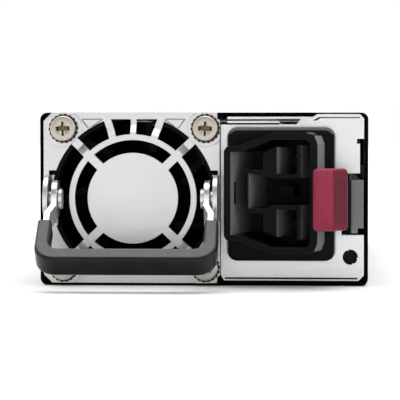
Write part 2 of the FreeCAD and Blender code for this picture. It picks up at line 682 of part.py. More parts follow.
COLLAR = [
    (-12.6, -9.4), (-12.0, -10.3), (-9.0, -10.7), (-2.0, -13.5), (5.6, -13.5), (7.4, -12.8), (8.1, -11.0),
    (8.1, 11.0), (7.4, 12.8), (5.6, 13.5), (-2.0, 13.5), (-9.0, 10.7), (-12.0, 10.3), (-12.6, 9.4),
]
CAVITY = [
    (-11.1, -9.2), (-8.6, -9.3), (-2.0, -11.9), (5.6, -11.9), (6.5, -11.0),
    (6.5, 11.0), (5.6, 11.9), (-2.0, 11.9), (-8.6, 9.3), (-11.1, 9.2),
]
ISLAND = [
    (-7.5, -4.4), (-3.9, -4.4), (-3.9, -8.2), (-0.9, -9.7), (4.4, -10.3),
    (4.4, 10.7), (-0.9, 10.3), (-3.9, 8.8), (-3.9, 5.3), (-7.5, 5.3),
]
LINE_SLOTS = [
    [(-0.9, 4.3), (3.6, 4.3), (3.6, 13.0), (-0.9, 13.0)],
    [(-0.9, -13.0), (3.6, -13.0), (3.6, -3.6), (-0.9, -3.6)],
]
EARTH_SLOT = [(-7.1, -3.3), (-3.5, -3.3), (-1.5, -2.6), (6.0, -2.6), (6.0, 3.4), (-1.5, 3.4), (-7.1, 4.5)]


def leaning(points, y0, y1):
    return front_prism(mouth(points), y0, y1, RAKE)


def shifted(points, depth):
    return [(x + RAKE * depth, z) for x, z in points]


def pin_seats():
    """Centres of the three contact pins where they leave the cavity's floor."""
    lean = RAKE * (FLOOR_Y - ISLAND_Y)
    seats = []
    for x, z in ((1.35, 7.0), (1.35, -7.0), (-1.0, 0.4)):
        seats.append((INLET_X + x + lean, INLET_Z + MOUTH_RISE + z))
    return seats


def inlet_housing():
    half_w = FLANGE_W / 2
    half_h = FLANGE_H / 2
    flange = rounded_box(
        INLET_X - half_w, INLET_X + half_w, -FLANGE_T, 0, INLET_Z - half_h, INLET_Z + half_h, FLANGE_R, 1)
    front = [e for e in flange.Edges if abs(e.BoundBox.YMax + FLANGE_T) < 1e-6]
    flange = flange.makeFillet(0.8, front)
    collar = leaning(COLLAR, LIP_Y, -FLANGE_T + 0.5)
    body_w = half_w - 1.0
    body_h = half_h - 2.0
    body = box(INLET_X - body_w, INLET_X + body_w, -0.5, BODY_DEPTH, INLET_Z - body_h, INLET_Z + body_h)
    shell = join([flange, collar, body]).cut(leaning(CAVITY, LIP_Y, FLOOR_Y))
    island = leaning(ISLAND, ISLAND_Y, FLOOR_Y + 0.5)
    for slot in LINE_SLOTS + [EARTH_SLOT]:
        island = island.cut(leaning(slot, ISLAND_Y, FLOOR_Y))
    keep = leaning(shifted(CAVITY, ISLAND_SINK), ISLAND_Y, FLOOR_Y)
    island = island.common(keep.fuse(body))
    housing = join([shell, island])
    for x, z in pin_seats():
        w = PIN_W / 2 + FIT_GAP
        t = PIN_T / 2 + FIT_GAP
        housing = housing.cut(box(x - w, x + w, FLOOR_Y - 0.1, BODY_DEPTH + 1, z - t, z + t))
    middle = INLET_Z + MOUTH_RISE
    slit = box(INLET_X - 11.0, INLET_X - 9.4, LIP_Y + 2.6, LIP_Y + 4.2, middle - 2.4, middle + 2.4)
    return housing.cut(slit)


def inlet_pins():
    pins = []
    for x, z in pin_seats():
        w = PIN_W / 2
        t = PIN_T / 2
        stem = box(x - w, x + w, FLOOR_Y, BODY_DEPTH + PIN_TAIL, z - t, z + t)
        points = [(x - w, z - t), (x + w, z - t), (x + w, z + t), (x - w, z + t)]
        lean = RAKE * PIN_STAND
        tip = front_prism([(px - lean, pz) for px, pz in points], FLOOR_Y - PIN_STAND, FLOOR_Y, RAKE)
        pins.append(stem.fuse(tip).removeSplitter())
    return group(pins)


def inlet_board():
    half_w = 10.5
    half_h = 13.5
    board = box(INLET_X - half_w, INLET_X + half_w, INLET_BOARD_Y, INLET_BOARD_Y + BOARD_T,
                INLET_Z - half_h, INLET_Z + half_h)
    for x, z in pin_seats():
        w = PIN_W / 2 + FIT_GAP
        t = PIN_T / 2 + FIT_GAP
        board = board.cut(box(x - w, x + w, INLET_BOARD_Y - 1, INLET_BOARD_Y + 3, z - t, z + t))
    return board


# --- status light ---------------------------------------------------------------
def light_pipe():
    x = RIGHT - LED_INSET_X
    head = rod(x, 0.35, LED_Z, LED_HOLE_R - FIT_GAP, PLATE - 0.35)
    flange = rod(x, PLATE, LED_Z, LED_HOLE_R + 0.6, 0.8)
    stem = rod(x, PLATE, LED_Z, 1.2, BOARD_FRONT_R - PLATE)
    return join([head, flange, stem])


def status_lamp():
    x = RIGHT - LED_INSET_X
    y = BOARD_FRONT_R
    return box(x - 1.4, x + 1.4, y, y + 2.0, BOARD_TOP, BOARD_TOP + 2.4)


# --- latch ----------------------------------------------------------------------
def arm_plane():
    return RIGHT - SHEET - SEAT_GAP


def latch_rivet_places():
    return (LATCH_ROOT - 3.0, LATCH_ROOT - 8.0)


def latch_arm():
    outer = arm_plane()
    inner = outer - LATCH_T
    low = LATCH_Z - LATCH_H / 2
    crook = RIGHT - TAB_RIGHT - 0.1
    web = -LATCH_T - SEAT_GAP
    tip = TAB_BACK - 1.5
    bend = crook + LATCH_T
    near = [(outer, LATCH_FLEX), (outer, web - LATCH_T), (bend, web - LATCH_T), (bend, TAB_BACK + 3)]
    end = [(crook - 0.6, tip), (crook - 1.4, tip), (crook, TAB_BACK + 3.2)]
    strip = plan_prism(near + end + [(crook, web), (inner, web), (inner, LATCH_FLEX)], low, low + LATCH_H)
    hook_out = SEAT_GAP + SHEET + HOOK_OUT
    hook = [
        (inner, HOOK_FROM), (outer, HOOK_FROM), (outer + hook_out, HOOK_FROM + HOOK_LENGTH - 1.5),
        (outer + hook_out, HOOK_FROM + HOOK_LENGTH), (inner, HOOK_FROM + HOOK_LENGTH),
    ]
    tooth = plan_prism(hook, LATCH_Z - 4, LATCH_Z + 4)
    lip = box(crook + 0.3, crook + 2.5, web - LATCH_T, web, low - 1.1, low)
    return strip.fuse([tooth, lip]).removeSplitter()


def latch_root():
    """Clamped end of the spring strip, held to the case wall by two rivets."""
    outer = RIGHT - SHEET
    low = LATCH_Z - LATCH_H / 2
    plate = box(outer - SEAT_GAP - LATCH_T, outer, LATCH_FLEX + FLEX_GAP, LATCH_ROOT, low, low + LATCH_H)
    for y in latch_rivet_places():
        plate = plate.cut(rod(outer - 3, y, LATCH_Z, RIVET_R + FIT_GAP, 4, (1, 0, 0)))
    return plate


def latch_rivets():
    rivets = []
    for y in latch_rivet_places():
        inner = RIGHT - SHEET - SEAT_GAP - LATCH_T
        shank = rod(inner, y, LATCH_Z, RIVET_R, RIGHT - inner, (1, 0, 0))
        inside = rod(inner, y, LATCH_Z, RIVET_R + 0.9, 0.7, (-1, 0, 0))
        outside = rod(RIGHT, y, LATCH_Z, RIVET_R + 0.7, 0.3, (1, 0, 0))
        rivets.append(join([shank, inside, outside]))
    return group(rivets)


def latch_tab():
    x0 = RIGHT - TAB_LEFT
    x1 = RIGHT - TAB_RIGHT
    nose = x0 + TAB_NOSE
    plan = [(x0, TAB_BACK), (x0, TAB_FRONT), (nose, TAB_FRONT), (x1, TAB_BACK - TAB_SIDE), (x1, TAB_BACK)]
    tab = plan_prism(plan, TAB_Z0, TAB_Z0 + TAB_H)
    tab = tab.makeFillet(TAB_R, [e for e in tab.Edges if e.BoundBox.YMin < TAB_BACK - 0.1])
    slope = math.atan2(TAB_BACK - TAB_SIDE - TAB_FRONT, x1 - nose)
    length = (x1 - nose) / math.cos(slope)
    grooves = []
    low = TAB_Z0 + RIB_MARGIN
    for n in range(RIB_COUNT):
        along = length / 2 + (n - (RIB_COUNT - 1) / 2) * RIB_PITCH
        groove = box(along - RIB_W / 2, along + RIB_W / 2, -1, RIB_DEPTH, low, TAB_Z0 + TAB_H - RIB_MARGIN)
        groove.rotate(V(0, 0, 0), V(0, 0, 1), math.degrees(slope))
        groove.translate(V(nose, TAB_FRONT, 0))
        grooves.append(groove)
    return tab.cut(group(grooves)).cut(latch_arm())


# --- board and what stands on it ------------------------------------------------
BOARD_END = 3.0         # board's rear edge from the case's rear edge
CARD_SLOT_X = 6.0       # keying slot in the card edge
CARD_SLOT_W = 1.8
CONTACT_PITCH = 2.54
CONTACT_W = 1.5
CHOKE_GAP = 10.1        # filter choke behind the inlet board's parts
CHOKE_R = 8.6
CHOKE_BORE = 4.6
CHOKE_W = 8.0
CHOKE_WIRE = 1.3
CHOKE_OFF = 2.0         # choke to the left of the inlet's centre
BASE_H = 2.0
BOOST_R = 11.0
BOOST_BORE = 5.6
BOOST_W = 9.0
BOOST_WIRE = 1.4
BOOST_BASE_H = 1.5
BOOST_GAP = 8.6         # boost choke behind the fan
CAP_GAP = 2.6           # bulk capacitor behind the boost choke
CAP_SEAT = 0.8
SINK_GAP = 6.0
SINK_T = 3.0
SINK_XFMR_GAP = 0.5
SINK_DROP = 4.6         # heat sinks below the cover's inside
SINK_FINS = 5
TRANSISTOR_T = 3.8
TRANSISTOR_PITCH = 11.2
RIGHT_COLUMN_END = 10.0 # right-hand parts from the case's right face
FILM_T = 8.0
FILM_H = 15.0
FUSE_R = 2.6
RECTIFIER_T = 4.6
RECTIFIER_H = 17.0
RELAY_L = 12.0
RELAY_H = 15.0
CARD_INSET = 8.0        # control card from the case's right face
CARD_H = 24.0
CHIP_T = 1.4
XFMR_W = 32.0
XFMR_L = 18.0
XFMR_H = 24.0
XFMR_COIL = 6.0         # windings beyond the core, front and back
XFMR_BASE_H = 3.0
XFMR_BACK = 49.0        # transformer's middle from the output capacitors' end
CAP_XFMR_GAP = 5.0
RESONANT_L = 16.0
STANDBY_L = 15.0
OUT_SINK_W = 36.0
OUT_SINK_T = 2.5
OUT_SINK_DEPTH = 8.0
OUT_CAP_R = 3.8
OUT_CAP_H = 15.0
OUT_CAP_PITCH = 8.2
OUT_CAP_BACK = 19.0     # output capacitors' row from the case's rear edge
BAR_W = 16.0
BAR_T = 1.5
BAR_BACK = 4.0
BAR_L = 8.0

CHOKE_X = INLET_X - CHOKE_OFF
CHOKE_Y = INLET_BOARD_Y + BOARD_T + CHOKE_GAP + CHOKE_R + 0.1
CHOKE_Z = BOARD_TOP + BASE_H + CHOKE_R
BOOST_OUT = BOOST_R + BOOST_WIRE
BOOST_H = BOOST_W + 2 * BOOST_WIRE
BOOST_Y = FAN_DEPTH + BOOST_GAP + BOOST_OUT
CAP_R = (CASE_H - SHEET - HEAD_GAP - BOARD_TOP - CAP_SEAT) / 2
CAP_X = LEFT + SHEET + SIDE_GAP + CAP_R
CAP_Y = BOOST_Y + BOOST_OUT + CAP_GAP
CAP_Z = BOARD_TOP + CAP_SEAT + CAP_R
BOOST_X = CAP_X + CAP_R - BOOST_OUT - 1.1
XFMR_X = LEFT + SHEET + SIDE_GAP + XFMR_W / 2
XFMR_Y = CASE_L - OUT_CAP_BACK - XFMR_BACK + 10.0
XFMR_HALF = XFMR_L / 2 + XFMR_COIL + 1.0
CAP_L = XFMR_Y - XFMR_HALF - CAP_XFMR_GAP - CAP_Y
SINK_X = CAP_X + CAP_R + SINK_GAP
SINK_Y = CAP_Y - 2.0
SINK_L = XFMR_Y - XFMR_HALF - SINK_XFMR_GAP - SINK_Y
SINK_H = CASE_H - SHEET - BOARD_TOP - SINK_DROP
COLUMN_X0 = SINK_X + SINK_T + TRANSISTOR_T + 0.2
COLUMN_X1 = RIGHT - RIGHT_COLUMN_END
FILM_Y = CHOKE_Y + CHOKE_W / 2 + CHOKE_WIRE + 3.7
FUSE_Y = FILM_Y + FILM_T + 4.0
RECTIFIER_Y = FUSE_Y + 8.0
FILM_2_Y = RECTIFIER_Y + RECTIFIER_T + 11.4
RELAY_Y = FILM_2_Y + FILM_T
STANDBY_Y = RELAY_Y + RELAY_L + 3.0
RESONANT_Y = STANDBY_Y + STANDBY_L + 4.0
CARD_Y0 = RELAY_Y + RELAY_L + 2.0
CARD_Y1 = CASE_L - OUT_CAP_BACK - 16.0
CARD_X = RIGHT - CARD_INSET
OUT_CAP_Y = CASE_L - OUT_CAP_BACK
OUT_SINK_Y = OUT_CAP_Y - 20.0
BAR_Y = CASE_L - BAR_BACK - BAR_L


def standoff_spots():
    x = CASE_W / 2 - 5.0
    rear = CASE_L - 12.0
    return ((-x, FAN_DEPTH + 8.0), (x - 6, BOARD_FRONT_R + 6.0), (-x, rear), (x, rear), (x, RELAY_Y + 7.5))


def main_board():
    edge = CASE_W / 2 - SHEET - BOARD_EDGE_GAP
    split = GUARD_RIGHT + 1.5
    end = CASE_L - BOARD_END
    tongue = CARD_EDGE_W / 2
    tip = CASE_L + CARD_EDGE_OUT
    front = [(-edge, BOARD_FRONT_L), (split, BOARD_FRONT_L), (split, BOARD_FRONT_R), (edge, BOARD_FRONT_R)]
    rear = [(edge, end), (tongue, end), (tongue, tip), (-tongue, tip), (-tongue, end), (-edge, end)]
    board = plan_prism(front + rear, BOARD_Z, BOARD_TOP)
    slot = box(0, CARD_SLOT_W, CASE_L + 1, tip + 1, BOARD_Z - 1, BOARD_TOP + 1)
    board = board.cut(slot.translated(V(CARD_SLOT_X, 0, 0)))
    for x, y in standoff_spots():
        board = board.cut(rod(x, y, BOARD_Z - 1, SCREW_SHANK_R + FIT_GAP, BOARD_T + 2, (0, 0, 1)))
    return board


def card_contacts():
    pads = []
    count = int((CARD_EDGE_W - 3) / CONTACT_PITCH)
    half = CONTACT_W / 2
    for n in range(count):
        x = (n - (count - 1) / 2) * CONTACT_PITCH
        if CARD_SLOT_X - half - 0.6 < x < CARD_SLOT_X + CARD_SLOT_W + half + 0.6:
            continue
        y0 = CASE_L + 1.5
        y1 = CASE_L + CARD_EDGE_OUT - 0.6
        pads.append(box(x - half, x + half, y0, y1, BOARD_TOP, BOARD_TOP + 0.1))
        pads.append(box(x - half, x + half, y0, y1, BOARD_Z - 0.1, BOARD_Z))
    return group(pads)


def standoffs():
    posts = []
    for x, y in standoff_spots():
        angles = [math.pi * n / 3 for n in range(6)]
        corners = [(x + STANDOFF_R * math.cos(a), y + STANDOFF_R * math.sin(a)) for a in angles]
        bore = rod(x, y, 0, SCREW_SHANK_R + FIT_GAP, STANDOFF_H + 2, (0, 0, 1))
        posts.append(plan_prism(corners, SHEET, SHEET + STANDOFF_H).cut(bore))
    return group(posts)


def board_screws():
    screws = []
    for x, y in standoff_spots():
        head = rod(x, y, BOARD_TOP, 2.6, 1.5, (0, 0, 1))
        shank = rod(x, y, SHEET + 0.2, SCREW_SHANK_R, BOARD_TOP - SHEET - 0.2, (0, 0, 1))
        screws.append(head.fuse(shank).removeSplitter())
    return group(screws)


def insulator_sheet():
    edge = CASE_W / 2 - SHEET - 1.5
    sheet = box(-edge, edge, BOARD_FRONT_L + 1, CASE_L - 6, SHEET, SHEET + 0.4)
    for x, y in standoff_spots():
        sheet = sheet.cut(box(x - 3.1, x + 3.1, y - 3.1, y + 3.1, 0, 4))
    return sheet


def toroid(x, y, z, r0, r1, width, axis):
    start = [x, y, z]
    middle = [abs(a) for a in axis].index(1)
    start[middle] -= width / 2
    return tube(start[0], start[1], start[2], r0, r1, width, axis)


def filter_choke_core():
    return toroid(CHOKE_X, CHOKE_Y, CHOKE_Z, CHOKE_BORE, CHOKE_R, CHOKE_W, (0, 1, 0))


def filter_choke_coils():
    x = CHOKE_X
    reach = CHOKE_R + CHOKE_WIRE
    width = CHOKE_W + 2 * CHOKE_WIRE
    outer = toroid(x, CHOKE_Y, CHOKE_Z, CHOKE_BORE - 1.2, reach, width, (0, 1, 0))
    coils = []
    for side in (-1, 1):
        xs = sorted((x + side * 1.6, x + side * 12))
        keep = box(xs[0], xs[1], CHOKE_Y - 9, CHOKE_Y + 9, CHOKE_Z - 7, CHOKE_Z + 7)
        coils.append(outer.common(keep).cut(filter_choke_core()))
    return group(coils)


def choke_bases():
    reach = CHOKE_R + CHOKE_WIRE + FIT_GAP
    half = CHOKE_W / 2 + 2.0
    filter_base = box(CHOKE_X - 8.5, CHOKE_X + 8.5, CHOKE_Y - half, CHOKE_Y + half, BOARD_TOP, BOARD_TOP + 5.0)
    filter_base = filter_base.cut(toroid(CHOKE_X, CHOKE_Y, CHOKE_Z, 0.1, reach, CHOKE_W + 5, (0, 1, 0)))
    wide = BOOST_R - 1.0
    boost_base = box(-wide, wide, -wide, wide, 0, BOOST_BASE_H)
    return group([filter_base, boost_base.translated(V(BOOST_X, BOOST_Y, BOARD_TOP))])


def film_capacitors():
    caps = []
    for y in (FILM_Y, FILM_2_Y):
        cap = box(COLUMN_X0, COLUMN_X1, y, y + FILM_T, BOARD_TOP, BOARD_TOP + FILM_H)
        caps.append(cap.makeChamfer(0.6, edges_along(cap, 2)))
    return group(caps)


def disc_capacitors():
    discs = []
    for z in (-8.5, 8.5):
        discs.append(rod(INLET_X - 6.5, INLET_BOARD_Y + BOARD_T, INLET_Z + z, 3.2, 2.6))
    return group(discs)


def input_fuse():
    length = COLUMN_X1 - COLUMN_X0 - 1.0
    x0 = COLUMN_X0 - 0.5
    barrel = rod(x0, FUSE_Y, BOARD_TOP + 4.2, FUSE_R, length, (1, 0, 0))
    clips = []
    for x in (x0 - 0.3, x0 + length - 3.1):
        clip = box(x, x + 3.6, FUSE_Y - FUSE_R - 0.6, FUSE_Y + FUSE_R + 0.6, BOARD_TOP, BOARD_TOP + 7.2)
        clips.append(clip.cut(barrel))
    return group([barrel] + clips)


def bridge_rectifier():
    return box(COLUMN_X0, COLUMN_X1, RECTIFIER_Y, RECTIFIER_Y + RECTIFIER_T, BOARD_TOP, BOARD_TOP + RECTIFIER_H)


def boost_centre():
    return (BOOST_X, BOOST_Y, BOARD_TOP + BOOST_BASE_H + BOOST_H / 2)


def boost_choke_core():
    x, y, z = boost_centre()
    return toroid(x, y, z, BOOST_BORE, BOOST_R, BOOST_W, (0, 0, 1))


def boost_choke_winding():
    x, y, z = boost_centre()
    outer = toroid(x, y, z, BOOST_BORE - 1.3, BOOST_OUT, BOOST_H, (0, 0, 1))
    gap = box(x - 2, x + 2, y, y + BOOST_OUT + 2, z - 8, z + 8)
    return outer.cut(gap).cut(boost_choke_core())


def bulk_capacitor():
    can = rod(CAP_X, CAP_Y, CAP_Z, CAP_R, CAP_L)
    can = can.makeChamfer(0.8, [e for e in can.Edges if e.BoundBox.YLength < 1e-6])
    groove = tube(CAP_X, CAP_Y + 3.0, CAP_Z, CAP_R - 0.6, CAP_R + 1, 1.4)
    return can.cut(groove)


def capacitor_cradle():
    half = CAP_R - 4.0
    cradle = box(CAP_X - half, CAP_X + half, CAP_Y + 8, CAP_Y + CAP_L - 6, BOARD_TOP, BOARD_TOP + 5.0)
    return cradle.cut(rod(CAP_X, CAP_Y, CAP_Z, CAP_R + FIT_GAP, CAP_L))


def switch_heat_sink():
    x0 = SINK_X
    web = box(x0, x0 + SINK_T, SINK_Y, SINK_Y + SINK_L, BOARD_TOP, BOARD_TOP + SINK_H)
    fins = []
    for n in range(SINK_FINS):
        z = BOARD_TOP + SINK_H - 1.0 - n * 5.0
        fins.append(box(x0 - 2.6, x0, SINK_Y, SINK_Y + SINK_L, z - 1.2, z))
    return join([web] + fins)


def power_transistors():
    bodies = []
    x0 = SINK_X + SINK_T
    for n in range(int((SINK_L - 3.0) / TRANSISTOR_PITCH)):
        y = SINK_Y + 3.5 + n * TRANSISTOR_PITCH
        body = box(x0, x0 + TRANSISTOR_T, y, y + 10.0, BOARD_TOP + 5, BOARD_TOP + 20)
        for leg in (2.0, 4.6, 7.2):
            body = body.fuse(box(x0 + 1.6, x0 + 2.4, y + leg, y + leg + 0.8, BOARD_TOP, BOARD_TOP + 5))
        bodies.append(body)
    return group(bodies)


def inrush_relay():
    return box(COLUMN_X0 + 4.0, CARD_X, RELAY_Y, RELAY_Y + RELAY_L, BOARD_TOP, BOARD_TOP + RELAY_H)


def control_card():
    return box(CARD_X, CARD_X + BOARD_T, CARD_Y0, CARD_Y1, BOARD_TOP, BOARD_TOP + CARD_H)


def control_chips():
    chips = []
    middle = (CARD_Y0 + CARD_Y1) / 2
    for y, z, w, h in ((CARD_Y0 + 5, 8, 7, 7), (middle - 4.5, 6, 9, 10), (CARD_Y1 - 9, 9, 7, 5)):
        chips.append(box(CARD_X - CHIP_T, CARD_X, y, y + w, BOARD_TOP + z, BOARD_TOP + z + h))
    return group(chips)


def transformer_core():
    z0 = BOARD_TOP + XFMR_BASE_H
    half_w = XFMR_W / 2
    half_l = XFMR_L / 2
    block = box(XFMR_X - half_w, XFMR_X + half_w, XFMR_Y - half_l, XFMR_Y + half_l, z0, z0 + XFMR_H)
    windows = []
    for side in (-1, 1):
        xs = sorted((XFMR_X + side * 4.5, XFMR_X + side * (half_w - 4.5)))
        windows.append(box(xs[0], xs[1], XFMR_Y - half_l - 1, XFMR_Y + half_l + 1, z0 + 4.5, z0 + XFMR_H - 4.5))
    return block.cut(group(windows))


def transformer_windings():
    z0 = BOARD_TOP + XFMR_BASE_H
    half_w = XFMR_W / 2 - 4.8
    half_l = XFMR_L / 2 + XFMR_COIL
    outer = rounded_box(-half_w, half_w, -half_l, half_l, z0 + 5.2, z0 + XFMR_H - 5.2, 3.0, 2)
    outer = outer.translated(V(XFMR_X, XFMR_Y, 0))
    leg = XFMR_L / 2 + 0.1
    return outer.cut(box(XFMR_X - 4.6, XFMR_X + 4.6, XFMR_Y - leg, XFMR_Y + leg, z0, z0 + XFMR_H))


def transformer_bobbin():
    half_w = XFMR_W / 2 - 2.0
    base = box(-half_w, half_w, -XFMR_HALF, XFMR_HALF, BOARD_TOP, BOARD_TOP + XFMR_BASE_H)
    return base.translated(V(XFMR_X, XFMR_Y, 0))


def resonant_choke():
    return box(COLUMN_X0 + 1, COLUMN_X1 - 1, RESONANT_Y, RESONANT_Y + RESONANT_L, BOARD_TOP, BOARD_TOP + 16.0)


def standby_transformer():
    y0 = STANDBY_Y
    y1 = STANDBY_Y + STANDBY_L
    core = box(COLUMN_X0 + 3, COLUMN_X1 - 1, y0 + 1, y1 - 1, BOARD_TOP + 1.5, BOARD_TOP + 15.0)
    return join([core, box(COLUMN_X0 + 2, COLUMN_X1, y0, y1, BOARD_TOP, BOARD_TOP + 1.5)])


def output_heat_sink():
    x0 = LEFT + SHEET + SIDE_GAP + 2.0
    y0 = OUT_SINK_Y
    top = BOARD_TOP + SINK_H - 2.0
    web = box(x0, x0 + OUT_SINK_W, y0, y0 + OUT_SINK_T, BOARD_TOP, top)
    fins = []
    for n in range(9):
        x = x0 + n * (OUT_SINK_W - 1.2) / 8
        fins.append(box(x, x + 1.2, y0 + OUT_SINK_T, y0 + OUT_SINK_DEPTH, BOARD_TOP + 4, top))
    return join([web] + fins)


def output_capacitors():
    room = CASE_W - 2 * (SHEET + SIDE_GAP + OUT_CAP_R + 1.4)
    count = 1 + int(room / OUT_CAP_PITCH + 1e-6)
    cans = []
    for n in range(count):
        x = (n - (count - 1) / 2) * OUT_CAP_PITCH
        cans.append(rod(x, OUT_CAP_Y, BOARD_TOP, OUT_CAP_R, OUT_CAP_H, (0, 0, 1)))
    return group(cans)


def output_bus_bars():
    bars = []
    for x in (LEFT + 9.0, RIGHT - 12.0 - BAR_W):
        riser = box(x, x + BAR_W, BAR_Y, BAR_Y + BAR_T, BOARD_TOP, BOARD_TOP + 8.0)
        foot = box(x, x + BAR_W, BAR_Y + BAR_T, BAR_Y + BAR_L, BOARD_TOP, BOARD_TOP + BAR_T)
        bars.append(join([riser, foot]))
    return group(bars)


def fan_header():
    x0 = LEFT + 10.0
    y0 = FAN_DEPTH + 3.0
    body = box(x0, x0 + 10.0, y0, y0 + 4.0, BOARD_TOP, BOARD_TOP + 6.0)
    return body.cut(box(x0 + 0.8, x0 + 9.2, y0 - 1, y0 + 3.0, BOARD_TOP + 1.6, BOARD_TOP + 7.0))


NODES = {
    "chassis_tray": chassis_tray,
    "top_cover": top_cover,
    "cover_screws": cover_screws,
    "rear_panel": rear_panel,
    "fan_guard": fan_guard,
    "fan_screws": fan_screws,
    "lock_washers": lock_washers,
    "fan_frame": fan_frame,
    "fan_bearing": fan_bearing,
    "fan_stator": fan_stator,
    "rotor_hub": rotor_hub,
    "rotor_shaft": rotor_shaft,
    "rotor_magnet": rotor_magnet,
    "pivot_pins": pivot_pins,
    "handle_arms": handle_arms,
    "handle_grip": handle_grip,
    "inlet_plate": inlet_plate,
    "inlet_housing": inlet_housing,
    "inlet_pins": inlet_pins,
    "inlet_board": inlet_board,
    "disc_capacitors": disc_capacitors,
    "light_pipe": light_pipe,
    "status_lamp": status_lamp,
    "latch_arm": latch_arm,
    "latch_root": latch_root,
    "latch_rivets": latch_rivets,
    "latch_tab": latch_tab,
    "main_board": main_board,
    "card_contacts": card_contacts,
    "standoffs": standoffs,
    "board_screws": board_screws,
    "insulator_sheet": insulator_sheet,
    "filter_choke_core": filter_choke_core,
    "filter_choke_coils": filter_choke_coils,
    "choke_bases": choke_bases,
    "film_capacitors": film_capacitors,
    "input_fuse": input_fuse,
    "bridge_rectifier": bridge_rectifier,
    "boost_choke_core": boost_choke_core,
    "boost_choke_winding": boost_choke_winding,
    "bulk_capacitor": bulk_capacitor,
    "capacitor_cradle": capacitor_cradle,
    "switch_heat_sink": switch_heat_sink,
    "power_transistors": power_transistors,
    "inrush_relay": inrush_relay,
    "control_card": control_card,
    "control_chips": control_chips,
    "transformer_core": transformer_core,
    "transformer_windings": transformer_windings,
    "transformer_bobbin": transformer_bobbin,
    "resonant_choke": resonant_choke,
    "standby_transformer": standby_transformer,
    "output_heat_sink": output_heat_sink,
    "output_capacitors": output_capacitors,
    "output_bus_bars": output_bus_bars,
    "fan_header": fan_header,
}


def main():
    os.makedirs("parts", exist_ok=True)
    for name, make in NODES.items():
        shape = make()
        shape.translate(V(0, -CASE_L / 2, 0))
        shape.exportStep("parts/" + name + ".step")
        print(name, shape.isValid(), len(shape.Solids), round(shape.Volume, 1))


main()
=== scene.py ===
"""Looks of a slot-in server power supply: case, guarded fan, bail handle, mains inlet and latch."""

import logging
import math
from dataclasses import dataclass, replace
from enum import Enum
from typing import Any, Sequence

import bmesh
import bpy
from mathutils import Matrix, Vector


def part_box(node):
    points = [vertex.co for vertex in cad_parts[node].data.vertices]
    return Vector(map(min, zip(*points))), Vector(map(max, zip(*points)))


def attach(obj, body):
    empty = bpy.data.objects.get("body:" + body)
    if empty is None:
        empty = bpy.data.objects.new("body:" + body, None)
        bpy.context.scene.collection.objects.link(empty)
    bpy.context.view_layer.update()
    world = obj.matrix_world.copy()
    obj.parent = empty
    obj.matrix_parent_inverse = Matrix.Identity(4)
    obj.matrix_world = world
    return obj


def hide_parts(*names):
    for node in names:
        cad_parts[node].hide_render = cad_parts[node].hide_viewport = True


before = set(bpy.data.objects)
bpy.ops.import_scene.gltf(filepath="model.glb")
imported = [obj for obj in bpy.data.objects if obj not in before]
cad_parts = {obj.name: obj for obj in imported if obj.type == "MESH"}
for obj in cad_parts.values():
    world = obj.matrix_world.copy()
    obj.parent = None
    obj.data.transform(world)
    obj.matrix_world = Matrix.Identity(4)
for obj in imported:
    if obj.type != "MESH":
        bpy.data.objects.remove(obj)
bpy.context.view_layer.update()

MM = 0.001
LOG = logging.getLogger("power_supply")

Triple = tuple[float, float, float]
Colour = Triple


def shaded(colour: Colour, share: float, lift: float = 0.0) -> Colour:
    """A colour with each channel times share, and lift added to it."""
    red, green, blue = (min(1.0, channel * share + lift) for channel in colour)
    return red, green, blue


# ---------------- shader expressions
class Value:
    """A shader socket that can be used in Python arithmetic."""

    def __init__(self, graph: "Nodes", socket: bpy.types.NodeSocket) -> None:
        """Keeps the tree and the socket that carries the number."""
        self.graph = graph
        self.socket = socket

    def _math(self, operation: str, first: Any, second: Any = 0.0, clamp: bool = False) -> "Value":
        """Adds one Math node, whose result clamp keeps between 0 and 1."""
        settings = {"operation": operation, "use_clamp": clamp}
        return self.graph.node("ShaderNodeMath", settings, {0: first, 1: second})

    def __add__(self, other: Any) -> "Value":
        """The sum of both."""
        return self._math("ADD", self, other)

    __radd__ = __add__

    def __sub__(self, other: Any) -> "Value":
        """This less the other."""
        return self._math("SUBTRACT", self, other)

    def __rsub__(self, other: Any) -> "Value":
        """The other less this."""
        return self._math("SUBTRACT", other, self)

    def __mul__(self, other: Any) -> "Value":
        """The product of both."""
        return self._math("MULTIPLY", self, other)

    __rmul__ = __mul__

    def __or__(self, other: Any) -> "Value":
        """The larger of both."""
        return self._math("MAXIMUM", self, other)

    def limited(self) -> "Value":
        """This kept between 0 and 1."""
        return self._math("ADD", self, 0.0, True)

    def between(self, low: float, high: float, to_low: float = 0.0, to_high: float = 1.0) -> "Value":
        """Maps a range of this value smoothly on another.

        Args:
            low: value that gives to_low.
            high: value that gives to_high.
            to_low: result at and below low.
            to_high: result at and above high.

        Returns:
            The mapped value.
        """
        settings = {"interpolation_type": "SMOOTHSTEP", "clamp": True}
        values = {"Value": self, "From Min": low, "From Max": high, "To Min": to_low, "To Max": to_high}
        return self.graph.node("ShaderNodeMapRange", settings, values)


